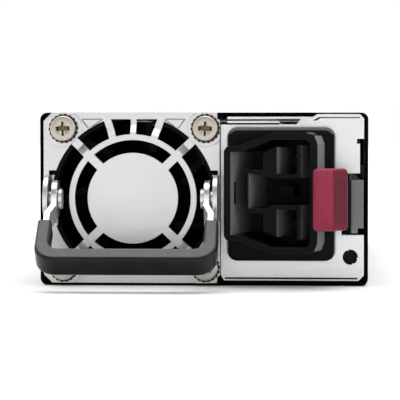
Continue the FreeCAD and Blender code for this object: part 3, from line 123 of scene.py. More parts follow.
class Nodes:
    """A node tree that is written as expressions."""

    def __init__(self, tree: bpy.types.NodeTree) -> None:
        """Keeps the tree that gets the nodes."""
        self.tree = tree

    def node(
        self,
        kind: str,
        settings: dict[str, Any] | None = None,
        values: dict[Any, Any] | None = None,
        result: Any = 0,
    ) -> Value:
        """Adds a node.

        Args:
            kind: the node's type.
            settings: its own settings, which are set first.
            values: numbers, colours or links for its input sockets, by name or place.
            result: name or place of the output to hand back.

        Returns:
            The chosen output.
        """
        made = self.tree.nodes.new(kind)
        for key, value in (settings or {}).items():
            setattr(made, key, value)
        for key, value in (values or {}).items():
            self.feed(made.inputs[key], value)
        return Value(self, made.outputs[result])

    def feed(self, socket: bpy.types.NodeSocket, value: Any) -> None:
        """Links a value to a socket, or sets its number or colour.

        Args:
            socket: the input socket.
            value: a value of this tree, a number or a colour.
        """
        if isinstance(value, Value):
            self.tree.links.new(value.socket, socket)
        elif isinstance(value, (tuple, list)) and socket.type == "RGBA":
            socket.default_value = (*value, 1.0)[:4]
        else:
            socket.default_value = value


class Graph(Nodes):
    """One material's node tree, with what its finishes share."""

    def __init__(self, name: str) -> None:
        """Makes an empty material with a Principled shader.

        Args:
            name: the material's name.
        """
        self.material = bpy.data.materials.new(name)
        self.material.use_nodes = True
        super().__init__(self.material.node_tree)
        self.tree.nodes.clear()
        self.output = self.tree.nodes.new("ShaderNodeOutputMaterial")
        self.shader = self.tree.nodes.new("ShaderNodeBsdfPrincipled")
        self.tree.links.new(self.shader.outputs[0], self.output.inputs["Surface"])
        self._place: Value | None = None

    def place(self, stretch: Triple = (1.0, 1.0, 1.0)) -> Value:
        """The point on the piece, in metres.

        Args:
            stretch: factor on each axis.

        Returns:
            The stretched point.
        """
        if self._place is None:
            self._place = self.node("ShaderNodeTexCoord", result="Object")
        if stretch == (1.0, 1.0, 1.0):
            return self._place
        return self.node("ShaderNodeVectorMath", {"operation": "MULTIPLY"}, {0: self._place, 1: stretch})

    def along(self, axis: str) -> Value:
        """How far along one axis the point is, in metres."""
        return self.node("ShaderNodeSeparateXYZ", None, {0: self.place()}, axis)

    def noise(
        self,
        per_metre: float,
        detail: float = 3.0,
        stretch: Triple = (1.0, 1.0, 1.0),
        rough: float = 0.55,
    ) -> Value:
        """Noise from 0 to 1, per_metre features in a metre, with finer octaves that weigh rough."""
        values = {"Vector": self.place(stretch), "Scale": per_metre, "Detail": detail, "Roughness": rough}
        return self.node("ShaderNodeTexNoise", None, values, "Fac")

    def cells(self, per_metre: float) -> Value:
        """Distance from the middle of each cell in a pattern with per_metre cells in a metre."""
        values = {"Vector": self.place(), "Scale": per_metre}
        return self.node("ShaderNodeTexVoronoi", {"feature": "F1"}, values, "Distance")

    def waves(self, per_metre: float, axis: str, warp: float = 0.0, profile: str = "SIN") -> Value:
        """Straight bands across one axis.

        Args:
            per_metre: how close the bands lie.
            axis: axis that they cross.
            warp: how far noise bends them.
            profile: shape of a band.

        Returns:
            A value from 0 to 1.
        """
        settings = {"wave_type": "BANDS", "bands_direction": axis, "wave_profile": profile}
        values = {"Vector": self.place(), "Scale": per_metre, "Distortion": warp, "Detail": 1.0}
        return self.node("ShaderNodeTexWave", settings, values, "Fac")

    def facing(self, axis: str) -> Value:
        """How far a face looks along one of the piece's own axes, from -1 to 1."""
        normal = self.node("ShaderNodeTexCoord", result="Normal")
        return self.node("ShaderNodeSeparateXYZ", None, {0: normal}, axis)

    def corners(self, radius: float) -> Value:
        """A mask that is 1 on sharp edges and 0 on flat faces.

        Args:
            radius: how far from an edge it reaches, in metres.

        Returns:
            The mask.
        """
        rounded = self.node("ShaderNodeBevel", {"samples": 4}, {"Radius": radius})
        flat = self.node("ShaderNodeNewGeometry", result="Normal")
        dot = self.node("ShaderNodeVectorMath", {"operation": "DOT_PRODUCT"}, {0: rounded, 1: flat}, "Value")
        return (1.0 - dot).between(0.01, 0.22)

    def creases(self, reach: float) -> Value:
        """A mask from ambient occlusion that is 1 deep in corners and recesses within reach, in metres, for
        painted shade.
        """
        shade = self.node("ShaderNodeAmbientOcclusion", {"samples": 6}, {"Distance": reach}, "AO")
        return (1.0 - shade).between(0.25, 0.85)

    def mix(self, first: Any, second: Any, share: Any) -> Value:
        """Mixes two colours: the first where share is 0, the second where it is 1."""
        return self.node("ShaderNodeMix", {"data_type": "RGBA"}, {0: share, 6: first, 7: second}, 2)

    def relief(self, height: Any, depth: float, strength: float = 1.0, soften: float = 0.0) -> Value:
        """Turns a height into a normal.

        Args:
            height: value from 0 to 1.
            depth: how high 1 stands, in metres.
            strength: share of the effect.
            soften: radius in metres by which hard edges look rounded.

        Returns:
            The normal.
        """
        values = {"Strength": strength, "Distance": depth, "Height": height}
        if soften > 0.0:
            values["Normal"] = self.node("ShaderNodeBevel", {"samples": 6}, {"Radius": soften})
        return self.node("ShaderNodeBump", None, values)

    def surface(self, **sockets: Any) -> bpy.types.Material:
        """Sets the shader's sockets and hands the material back.

        Args:
            sockets: Principled sockets, with underscores for spaces.

        Returns:
            The finished material.
        """
        for name, value in sockets.items():
            self.feed(self.shader.inputs[name.replace("_", " ")], value)
        return self.material


# ---------------- finishes: clouds, scuffs and other noise are given as features per metre
class Grain(Enum):
    """Way the rolling or brushing marks of a sheet run."""

    ACROSS = (3.0, 60.0, 60.0)
    ALONG = (60.0, 3.0, 60.0)
    UPRIGHT = (60.0, 60.0, 3.0)
    NONE = (30.0, 30.0, 30.0)


@dataclass(frozen=True)
class SheetSteel:
    """Bare or plated sheet steel with fine grain, faint smudges, edges lightened as rubbed metal and as
    painted highlight, and painted shade in its creases.

    What lies left of the given x gets a painted shadow, near black and not metallic, and what lies behind
    the given depth gets painted shade.
    """

    name: str
    tint: Colour
    shine: float = 0.34
    grain: Grain = Grain.ACROSS
    smudge: float = 0.07
    edge_tint: Colour = (0.92, 0.93, 0.94)
    painted_crease_shade: float = 0.45
    painted_crease_shade_reach: float = 1.6 * MM
    painted_shadow_to: float | None = None
    painted_shade_from: float | None = None
    painted_shadow_fade: float = 0.15 * MM
    painted_shade_fade: float = 0.08 * MM
    grain_depth: float = 0.004 * MM
    edge_reach: float = 0.22 * MM
    soften: float = 0.18 * MM
    streaks: float = 90.0
    clouds: float = 55.0
    flecks: float = 2600.0
    painted_shade_tint: Colour = (0.012, 0.012, 0.013)
    painted_shadow_tint: Colour = (0.008, 0.008, 0.009)

    def material(self) -> bpy.types.Material:
        """Builds the finish.

        Returns:
            The material.
        """
        g = Graph(self.name)
        streaks = g.noise(self.streaks, 4.0, self.grain.value, 0.7)
        cloud = g.noise(self.clouds, 3.0)
        flecks = g.noise(self.flecks, 2.0).between(0.62, 0.74)
        edge = g.corners(self.edge_reach)
        painted_crease_shade = g.creases(self.painted_crease_shade_reach)
        tone = (cloud.between(0.35, 0.7) * 0.6 + streaks * 0.4).limited()
        colour = g.mix(shaded(self.tint, 1.0 - self.smudge * 1.7), self.tint, tone)
        # Lighter edges: partly rubbed bare metal, partly painted highlight.
        colour = g.mix(colour, self.edge_tint, edge * 0.7)
        # Painted shade deep in creases and recesses.
        colour = g.mix(colour, shaded(self.tint, 0.6 - 0.5 * self.painted_crease_shade), painted_crease_shade * self.painted_crease_shade)
        metal: Any = 1.0
        dielectric_gloss = 0.5
        # Painted shade: behind the given depth the sheet turns near black.
        if self.painted_shade_from is not None:
            painted_shade = g.along("Y").between(self.painted_shade_from, self.painted_shade_from + self.painted_shade_fade)
            colour = g.mix(colour, self.painted_shade_tint, painted_shade)
        # Painted shadow: left of the given x the sheet turns near black and loses its metal and gloss.
        if self.painted_shadow_to is not None:
            painted_shadow = g.along("X").between(self.painted_shadow_to, self.painted_shadow_to + self.painted_shadow_fade, 1.0, 0.0)
            colour = g.mix(colour, self.painted_shadow_tint, painted_shadow)
            metal = 1.0 - painted_shadow
            dielectric_gloss = 0.0
        rough = streaks.between(0.3, 0.7, self.shine - 0.05, self.shine + 0.07)
        rough = rough + cloud * self.smudge + flecks * 0.05 - edge * 0.08
        normal = g.relief(streaks + flecks * 0.3, self.grain_depth, 0.6, self.soften)
        return g.surface(
            Base_Color=colour,
            Metallic=metal,
            Roughness=rough,
            Normal=normal,
            Specular_IOR_Level=dielectric_gloss,
        )


@dataclass(frozen=True)
class CoatedSteel:
    """Steel sheet with a fine black coat, rubbed thin on its edges, a dark line at its seam, and painted
    shade on the faces that look to the front, as a near-black mirror.
    """

    name: str
    colour: Colour
    seam: float
    shine: float = 0.46
    gloss: float = 0.2
    peel: float = 1500.0
    peel_depth: float = 0.01 * MM
    seam_width: float = 0.35 * MM
    soften: float = 0.3 * MM
    rub_reach: float = 0.14 * MM
    rubs: float = 420.0
    clouds: float = 24.0
    scuffs: float = 40.0
    scuff_run: Triple = (30.0, 1.2, 30.0)
    specks: float = 700.0
    scuffed: Colour = (0.04, 0.04, 0.041)
    dusty: Colour = (0.3, 0.3, 0.29)
    bare: Colour = (0.32, 0.32, 0.33)
    gap: Colour = (0.0005, 0.0005, 0.0005)
    # Near-black colour of painted shade on faces that look to the front.
    cut: Colour = (0.002, 0.002, 0.002)

    def material(self) -> bpy.types.Material:
        """Builds the finish.

        Returns:
            The material.
        """
        g = Graph(self.name)
        peel = g.noise(self.peel, 2.0)
        cloud = g.noise(self.clouds, 3.0)
        patches = g.noise(self.rubs, 4.0, rough=0.7).between(0.54, 0.7)
        rub = (g.corners(self.rub_reach) * patches).limited()
        scuff = g.noise(self.scuffs, 5.0, self.scuff_run, 0.75).between(0.62, 0.8)
        dust = g.noise(self.specks, 2.0).between(0.66, 0.8) * 0.12
        colour = g.mix(self.colour, shaded(self.colour, 1.5, 0.003), cloud.between(0.3, 0.8) * 0.6)
        colour = g.mix(colour, self.scuffed, scuff * 0.35)
        colour = g.mix(colour, self.dusty, dust)
        colour = g.mix(colour, self.bare, rub * 0.4)
        rough = cloud.between(0.3, 0.7, self.shine - 0.05, self.shine + 0.08) + scuff * 0.06
        height = g.along("Z") - self.seam
        seam = (height * height).between(0.0, self.seam_width**2, 1.0, 0.0)
        colour = g.mix(colour, self.gap, seam)
        # Painted shade: faces that look to the front turn near black and metallic.
        painted_front_shade = g.facing("Y").between(-0.95, -0.6, 1.0, 0.0)
        colour = g.mix(colour, self.cut, painted_front_shade)
        normal = g.relief(peel - seam * 12.0, self.peel_depth, 0.7, self.soften)
        return g.surface(
            Base_Color=colour,
            Metallic=(rub * 0.8) | painted_front_shade,
            Roughness=rough,
            Normal=normal,
            Specular_IOR_Level=self.gloss,
        )


class Texture(Enum):
    """Surface of a moulded part, as features per metre and their depth in metres."""

    FINE = (5200.0, 0.006 * MM)
    SPARK = (2600.0, 0.016 * MM)
    SMOOTH = (900.0, 0.004 * MM)


@dataclass(frozen=True)
class Moulded:
    """Moulded plastic with an eroded or smooth skin, soft edges and light handling marks.

    A flank below 1 paints shade on what looks to the right and in the grooves, and what looks up is paler,
    as dust and as a painted sheen.
    """

    name: str
    colour: Colour
    shine: float = 0.45
    texture: Texture = Texture.FINE
    wear_and_highlight: Colour = (0.09, 0.09, 0.095)
    gloss: float = 0.5
    soften: float = 0.2 * MM
    wear_and_highlight_share: float = 0.35
    flank_shade: float = 1.0
    # How much up-facing faces pale: dust, and a painted sheen.
    dust: float = 0.0
    edge_reach: float = 0.3 * MM
    groove_reach: float = 0.7 * MM
    clouds: float = 90.0
    marks: float = 300.0
    mark_run: Triple = (4.0, 4.0, 30.0)
    dust_patches: float = 600.0
    # Colour of the dust and painted sheen on up-facing faces.
    dusty: Colour = (0.35, 0.35, 0.345)

    def material(self) -> bpy.types.Material:
        """Builds the finish.

        Returns:
            The material.
        """
        g = Graph(self.name)
        per_metre, depth = self.texture.value
        skin = g.noise(per_metre, 2.0)
        cloud = g.noise(self.clouds, 3.0)
        edge = g.corners(self.edge_reach)
        marks = g.noise(self.marks, 5.0, self.mark_run, 0.75).between(0.64, 0.76)
        colour = g.mix(self.colour, shaded(self.colour, 1.35, 0.004), cloud.between(0.35, 0.75))
        # Painted shade on faces that look to the right and in the grooves, where the lighter edges are left
        # out.
        if self.flank_shade < 1.0:
            side = g.facing("X").between(0.3, 0.65)
            colour = g.mix(colour, shaded(self.colour, self.flank_shade), side)
            colour = g.mix(colour, shaded(self.colour, 0.25), g.creases(self.groove_reach) * 0.9)
            edge = edge * (1.0 - side)
        # Paler up-facing faces: dust, and a painted sheen from light overhead.
        if self.dust > 0.0:
            dust_and_sheen = g.facing("Z").between(0.3, 0.9) * (g.noise(self.dust_patches, 3.0) * 0.4 + 0.8)
            colour = g.mix(colour, self.dusty, dust_and_sheen * self.dust)
        # Lighter edges: rubbed plastic, and a painted highlight.
        colour = g.mix(colour, self.wear_and_highlight, edge * self.wear_and_highlight_share + marks * 0.1)
        rough = cloud.between(0.3, 0.7, self.shine - 0.04, self.shine + 0.06)
        rough = rough - edge * 0.08 + marks * 0.06
        normal = g.relief(skin, depth, 0.8, self.soften)
        return g.surface(
            Base_Color=colour,
            Roughness=rough,
            Normal=normal,
            Specular_IOR_Level=self.gloss,
        )


@dataclass(frozen=True)
class SocketMoulding:
    """Moulded socket: dark polished faces, side walls painted grey as lit, in uneven patches, and a painted
    highlight on its upper edges.
    """

    name: str
    face: Colour = (0.0046, 0.0046, 0.005)
    painted_wall_light: Colour = (0.19, 0.19, 0.195)
    painted_ledge_highlight: Colour = (0.13, 0.13, 0.133)
    wear_and_highlight: Colour = (0.05, 0.05, 0.055)
    gloss: float = 0.05
    ledge_from: float = 34.0 * MM
    ledge_fade: float = 0.4 * MM
    clouds: float = 160.0
    rubs: float = 420.0
    rub_run: Triple = (30.0, 1.5, 6.0)
    skin: float = 5200.0
    skin_depth: float = 0.006 * MM
    soften: float = 0.2 * MM
    edge_reach: float = 0.3 * MM

    def material(self) -> bpy.types.Material:
        """Builds the finish.

        Returns:
            The material.
        """
        g = Graph(self.name)
        across = g.facing("X")
        walls = (across * across).between(0.35, 0.8)
        high = g.along("Z").between(self.ledge_from, self.ledge_from + self.ledge_fade)
        ledges = g.facing("Z").between(-0.02, 0.3) * (1.0 - walls) * high
        cloud = g.noise(self.clouds, 3.0)
        rubs = g.noise(self.rubs, 4.0, self.rub_run, 0.7)
        skin = g.noise(self.skin, 2.0)
        edge = g.corners(self.edge_reach)
        # Painted light: side walls that look left or right are grey as lit.
        colour = g.mix(self.face, self.painted_wall_light, walls * (rubs.between(0.25, 0.7) * 0.35 + 0.65))
        # Painted highlight on the upward faces near the top.
        colour = g.mix(colour, self.painted_ledge_highlight, ledges * (rubs.between(0.3, 0.7) * 0.4 + 0.6))
        # Lighter edges: rubbed, and a painted highlight.
        colour = g.mix(colour, self.wear_and_highlight, edge * 0.3 + cloud.between(0.5, 0.8) * 0.03)
        rough = cloud.between(0.3, 0.7, 0.36, 0.44) + walls * 0.16 - edge * 0.06
        normal = g.relief(skin + rubs * 0.3, self.skin_depth, 0.8, self.soften)
        return g.surface(
            Base_Color=colour,
            Roughness=rough,
            Normal=normal,
            Specular_IOR_Level=self.gloss,
        )


@dataclass(frozen=True)
class Laminate:
    """Circuit board: solder mask over copper tracks, with paler drilled laminate at its edges."""

    name: str
    mask: Colour = (0.012, 0.11, 0.045)
    track: Colour = (0.03, 0.21, 0.09)
    weave: Colour = (0.52, 0.47, 0.25)
    stain: Colour = (0.01, 0.05, 0.02)
    lanes: float = 180.0
    blocks: float = 240.0
    threads: float = 1400.0
    stains: float = 500.0
    track_depth: float = 0.04 * MM

    def material(self) -> bpy.types.Material:
        """Builds the finish.

        Returns:
            The material.
        """
        g = Graph(self.name)
        lanes = g.waves(self.lanes, "X", 1.6, "TRI").between(0.55, 0.62)
        blocks = g.cells(self.blocks).between(0.42, 0.48)
        cloth = g.waves(self.threads, "Y") * g.waves(self.threads, "X")
        normal = g.node("ShaderNodeNewGeometry", result="Normal")
        side = g.node("ShaderNodeSeparateXYZ", None, {0: normal}, "Z")
        flat = (side * side).between(0.3, 0.7)
        tracks = (lanes | blocks) * flat
        colour = g.mix(self.mask, self.track, tracks * 0.8)
        colour = g.mix(self.weave, colour, flat)
        colour = g.mix(colour, self.stain, g.noise(self.stains, 3.0).between(0.5, 0.8) * 0.3)
        relief = g.relief(tracks + cloth * 0.15, self.track_depth, 0.6)
        return g.surface(Base_Color=colour, Roughness=0.32 + tracks * 0.06, Normal=relief)


@dataclass(frozen=True)
class Wound:
    """Enamelled wire or tape wound in close turns."""

    name: str
    colour: Colour
    dark: Colour
    turns: float
    axis: str = "Z"
    metal: float = 0.6
    blotches: float = 260.0
    turn_depth: float = 0.22 * MM

    def material(self) -> bpy.types.Material:
        """Builds the finish.

        Returns:
            The material.
        """
        g = Graph(self.name)
        turns = g.waves(self.turns, self.axis, 0.4)
        blotch = g.noise(self.blotches, 3.0)
        colour = g.mix(self.dark, self.colour, turns.between(0.1, 0.7) * 0.8 + blotch * 0.2)
        rough = blotch.between(0.3, 0.7, 0.26, 0.42)
        normal = g.relief(turns, self.turn_depth, 0.9)
        return g.surface(Base_Color=colour, Metallic=self.metal, Roughness=rough, Normal=normal)


@dataclass(frozen=True)
class Sintered:
    """Dull, slightly pitted block such as ferrite, epoxy or a chip package."""

    name: str
    colour: Colour
    shine: float = 0.6
    pits: float = 1400.0
    pit_depth: float = 0.03 * MM
    clouds: float = 200.0
    edge_reach: float = 0.3 * MM
    soften: float = 0.25 * MM

    def material(self) -> bpy.types.Material:
        """Builds the finish.

        Returns:
            The material.
        """
        g = Graph(self.name)
        pits = g.cells(self.pits)
        cloud = g.noise(self.clouds, 4.0)
        pale = cloud.between(0.35, 0.8) * 0.6 + g.corners(self.edge_reach) * 0.4
        colour = g.mix(self.colour, shaded(self.colour, 1.7, 0.01), pale)
        normal = g.relief(pits, self.pit_depth, 0.5, self.soften)
        return g.surface(Base_Color=colour, Roughness=cloud * 0.12 + self.shine, Normal=normal)


@dataclass(frozen=True)
class ShadedPipePlastic:
    """Moulded light pipe, painted near black as the shade of a deep hole, with faint frost."""

    name: str
    tint: Colour = (0.004, 0.0045, 0.004)
    gloss: float = 0.03
    frost: float = 2400.0
    frost_depth: float = 0.01 * MM

    def material(self) -> bpy.types.Material:
        """Builds the finish.

        Returns:
            The material.
        """
        g = Graph(self.name)
        frost = g.noise(self.frost, 2.0)
        rough = frost.between(0.3, 0.7, 0.06, 0.16)
        colour = g.mix(self.tint, shaded(self.tint, 2.0), frost)
        normal = g.relief(frost, self.frost_depth, 0.4)
        return g.surface(
            Base_Color=colour,
            Roughness=rough,
            Normal=normal,
            Specular_IOR_Level=self.gloss,
        )


# ---------------- meshes and dressing
def dress(node: str, finish: Any) -> None:
    """Gives a CAD node its finish.

    Args:
        node: the CAD node's name.
        finish: a finish with a material method, or a material.
    """
    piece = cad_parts[node]
    material = finish if isinstance(finish, bpy.types.Material) else finish.material()
    piece.data.materials.clear()
    piece.data.materials.append(material)
    LOG.info("%s wears %s", node, material.name)


def mesh_piece(
    name: str,
    shape: bmesh.types.BMesh,
    material: bpy.types.Material,
    smooth_below: float = 35.0,
) -> bpy.types.Object:
    """Turns a shape into an object.

    Args:
        name: the piece's name.
        shape: its geometry, which is freed.
        material: its finish.
        smooth_below: edges sharper than this many degrees stay crisp.

    Returns:
        The object.
    """
    bmesh.ops.recalc_face_normals(shape, faces=shape.faces)
    limit = math.radians(smooth_below)
    for face in shape.faces:
        face.smooth = True
    for edge in shape.edges:
        edge.smooth = len(edge.link_faces) == 2 and edge.calc_face_angle(0.0) < limit
    data = bpy.data.meshes.new(name)
    shape.to_mesh(data)
    shape.free()
    data.materials.append(material)
    piece = bpy.data.objects.new(name, data)
    bpy.context.scene.collection.objects.link(piece)
    LOG.info("built %s", name)
    return piece


def lathe(
    shape: bmesh.types.BMesh,
    profile: Sequence[tuple[float, float]],
    centre: Vector,
    sides: int,
) -> None:
    """Adds a body turned about an axis that runs front to back.

    Args:
        shape: geometry that gets the body.
        profile: points as (radius, depth behind the centre), from the front middle outwards.
        centre: point on the axis.
        sides: how many steps round.
    """
    rings: list[list[bmesh.types.BMVert]] = []
    for radius, depth in profile:
        count = sides if radius > 0.0 else 1
        ring = []
        for n in range(count):
            turn = 2 * math.pi * n / sides
            place = Vector((radius * math.cos(turn), depth, radius * math.sin(turn)))
            ring.append(shape.verts.new(centre + place))
        rings.append(ring)
    for inner, outer in zip(rings, rings[1:]):
        for n in range(sides):
            a, b = inner[n % len(inner)], inner[(n + 1) % len(inner)]
            c, d = outer[(n + 1) % len(outer)], outer[n % len(outer)]
            corners = list(dict.fromkeys((a, b, c, d)))
            if len(corners) > 2:
                shape.faces.new(corners)


def carve(piece: bpy.types.Object, cutter: bpy.types.Object) -> None:
    """Cuts one piece with another, gives the cut faces the cutter's finish and removes the cutter.

    Args:
        piece: piece that is cut.
        cutter: piece that cuts.
    """
    step = piece.modifiers.new("carve", "BOOLEAN")
    step.operation = "DIFFERENCE"
    step.material_mode = "TRANSFER"
    step.solver = "EXACT"
    step.use_self = True
    step.object = cutter
    settle(piece)
    bpy.data.objects.remove(cutter)


def settle(piece: bpy.types.Object) -> None:
    """Applies modifiers to a mesh.

    Args:
        piece: the piece that has them.
    """
    graph = bpy.context.evaluated_depsgraph_get()
    graph.update()
    finished = bpy.data.meshes.new_from_object(piece.evaluated_get(graph))
    piece.modifiers.clear()
    piece.data = finished


def corner_places(node: str, radius: float) -> list[Vector]:
    """Centres of four round pieces of one node, one in each corner of its front.

    Args:
        node: the node that holds the four.
        radius: their outer radius.

    Returns:
        Points at the front of the node, in metres.
    """
    low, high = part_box(node)
    across = (low.x + radius, high.x - radius)
    up = (low.z + radius, high.z - radius)
    return [Vector((x, low.y, z)) for x in across for z in up]


# ---------------- sub-assemblies
@dataclass
class CaseShell:
    """Folded case: tray, cover, rear panel and their screws."""

    coat_colour: Colour = (0.006, 0.006, 0.0065)
    rear: SheetSteel = SheetSteel("rear_sheet", (0.52, 0.53, 0.54), 0.4, Grain.UPRIGHT, smudge=0.14)
    screw: SheetSteel = SheetSteel(
        "black_screw", (0.09, 0.09, 0.095), 0.4, Grain.NONE, edge_tint=(0.3, 0.3, 0.3)
    )
    # Faces cut by the cross recesses are painted black, as the shade inside them.
    cross: SheetSteel = SheetSteel(
        "screw_cross", (0.006, 0.006, 0.006), 0.5, Grain.NONE, edge_tint=(0.03, 0.03, 0.03)
    )
    screw_radius: float = 2.4 * MM
    arm_reach: float = 1.5 * MM
    arm_half: float = 0.34 * MM
    cross_depth: float = 0.5 * MM

    def build(self) -> None:
        """Dresses the case."""
        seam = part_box("chassis_tray")[1].z
        coat = CoatedSteel("case_coat", self.coat_colour, seam).material()
        dress("chassis_tray", coat)
        dress("top_cover", coat)
        dress("rear_panel", self.rear)
        self._cover_screws()

    def _cover_screws(self) -> None:
        """Flush screws in the side walls with a cross recess, which stand for the plain ones."""
        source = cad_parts["cover_screws"]
        screws = bpy.data.objects.new("cross_screws", source.data.copy())
        screws.matrix_world = source.matrix_world.copy()
        bpy.context.scene.collection.objects.link(screws)
        screws.data.materials.clear()
        screws.data.materials.append(self.screw.material())
        low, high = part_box("cover_screws")
        cutter = bmesh.new()
        for y in (low.y + self.screw_radius, high.y - self.screw_radius):
            for x in (low.x, high.x):
                self._cross(cutter, Vector((x, y, (low.z + high.z) / 2)))
        carve(screws, mesh_piece("cross_cutter", cutter, self.cross.material()))
        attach(screws, "supply")
        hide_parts("cover_screws")

    def _cross(self, shape: bmesh.types.BMesh, place: Vector) -> None:
        """Adds the two bars that cut one recess.

        Args:
            shape: geometry that gets them.
            place: the middle of the screw's outer face.
        """
        for along, up in ((self.arm_reach, self.arm_half), (self.arm_half, self.arm_reach)):
            size = Matrix.Diagonal((2 * self.cross_depth, 2 * along, 2 * up, 1.0))
            bmesh.ops.create_cube(shape, size=1.0, matrix=Matrix.Translation(place) @ size)


@dataclass
class FanUnit:
    """Fan frame, rotor and the parts that carry it."""

    frame_skin: Moulded = Moulded(
        "fan_frame_plastic", (0.0025, 0.0025, 0.0027), 0.55, wear_and_highlight=(0.01, 0.01, 0.01), gloss=0.06
    )
    rotor_skin: Moulded = Moulded(
        "rotor_plastic", (0.0025, 0.0025, 0.0027), 0.5, Texture.SMOOTH, wear_and_highlight=(0.01, 0.01, 0.01), gloss=0.06
    )
    bearing: SheetSteel = SheetSteel("bearing_bronze", (0.62, 0.46, 0.26), 0.4, Grain.NONE)
    shaft: SheetSteel = SheetSteel("shaft_steel", (0.6, 0.6, 0.61), 0.22, Grain.ACROSS)
    magnet: Sintered = Sintered("magnet_ring", (0.05, 0.045, 0.045))
    wire: Wound = Wound("stator_wire", (0.62, 0.27, 0.1), (0.16, 0.05, 0.02), 900.0, "Y")

    def build(self) -> None:
        """Dresses the fan."""
        dress("fan_frame", self.frame_skin)
        dress("rotor_hub", self.rotor_skin)
        dress("fan_bearing", self.bearing)
        dress("rotor_shaft", self.shaft)
        dress("rotor_magnet", self.magnet)
        dress("fan_stator", self.wire)


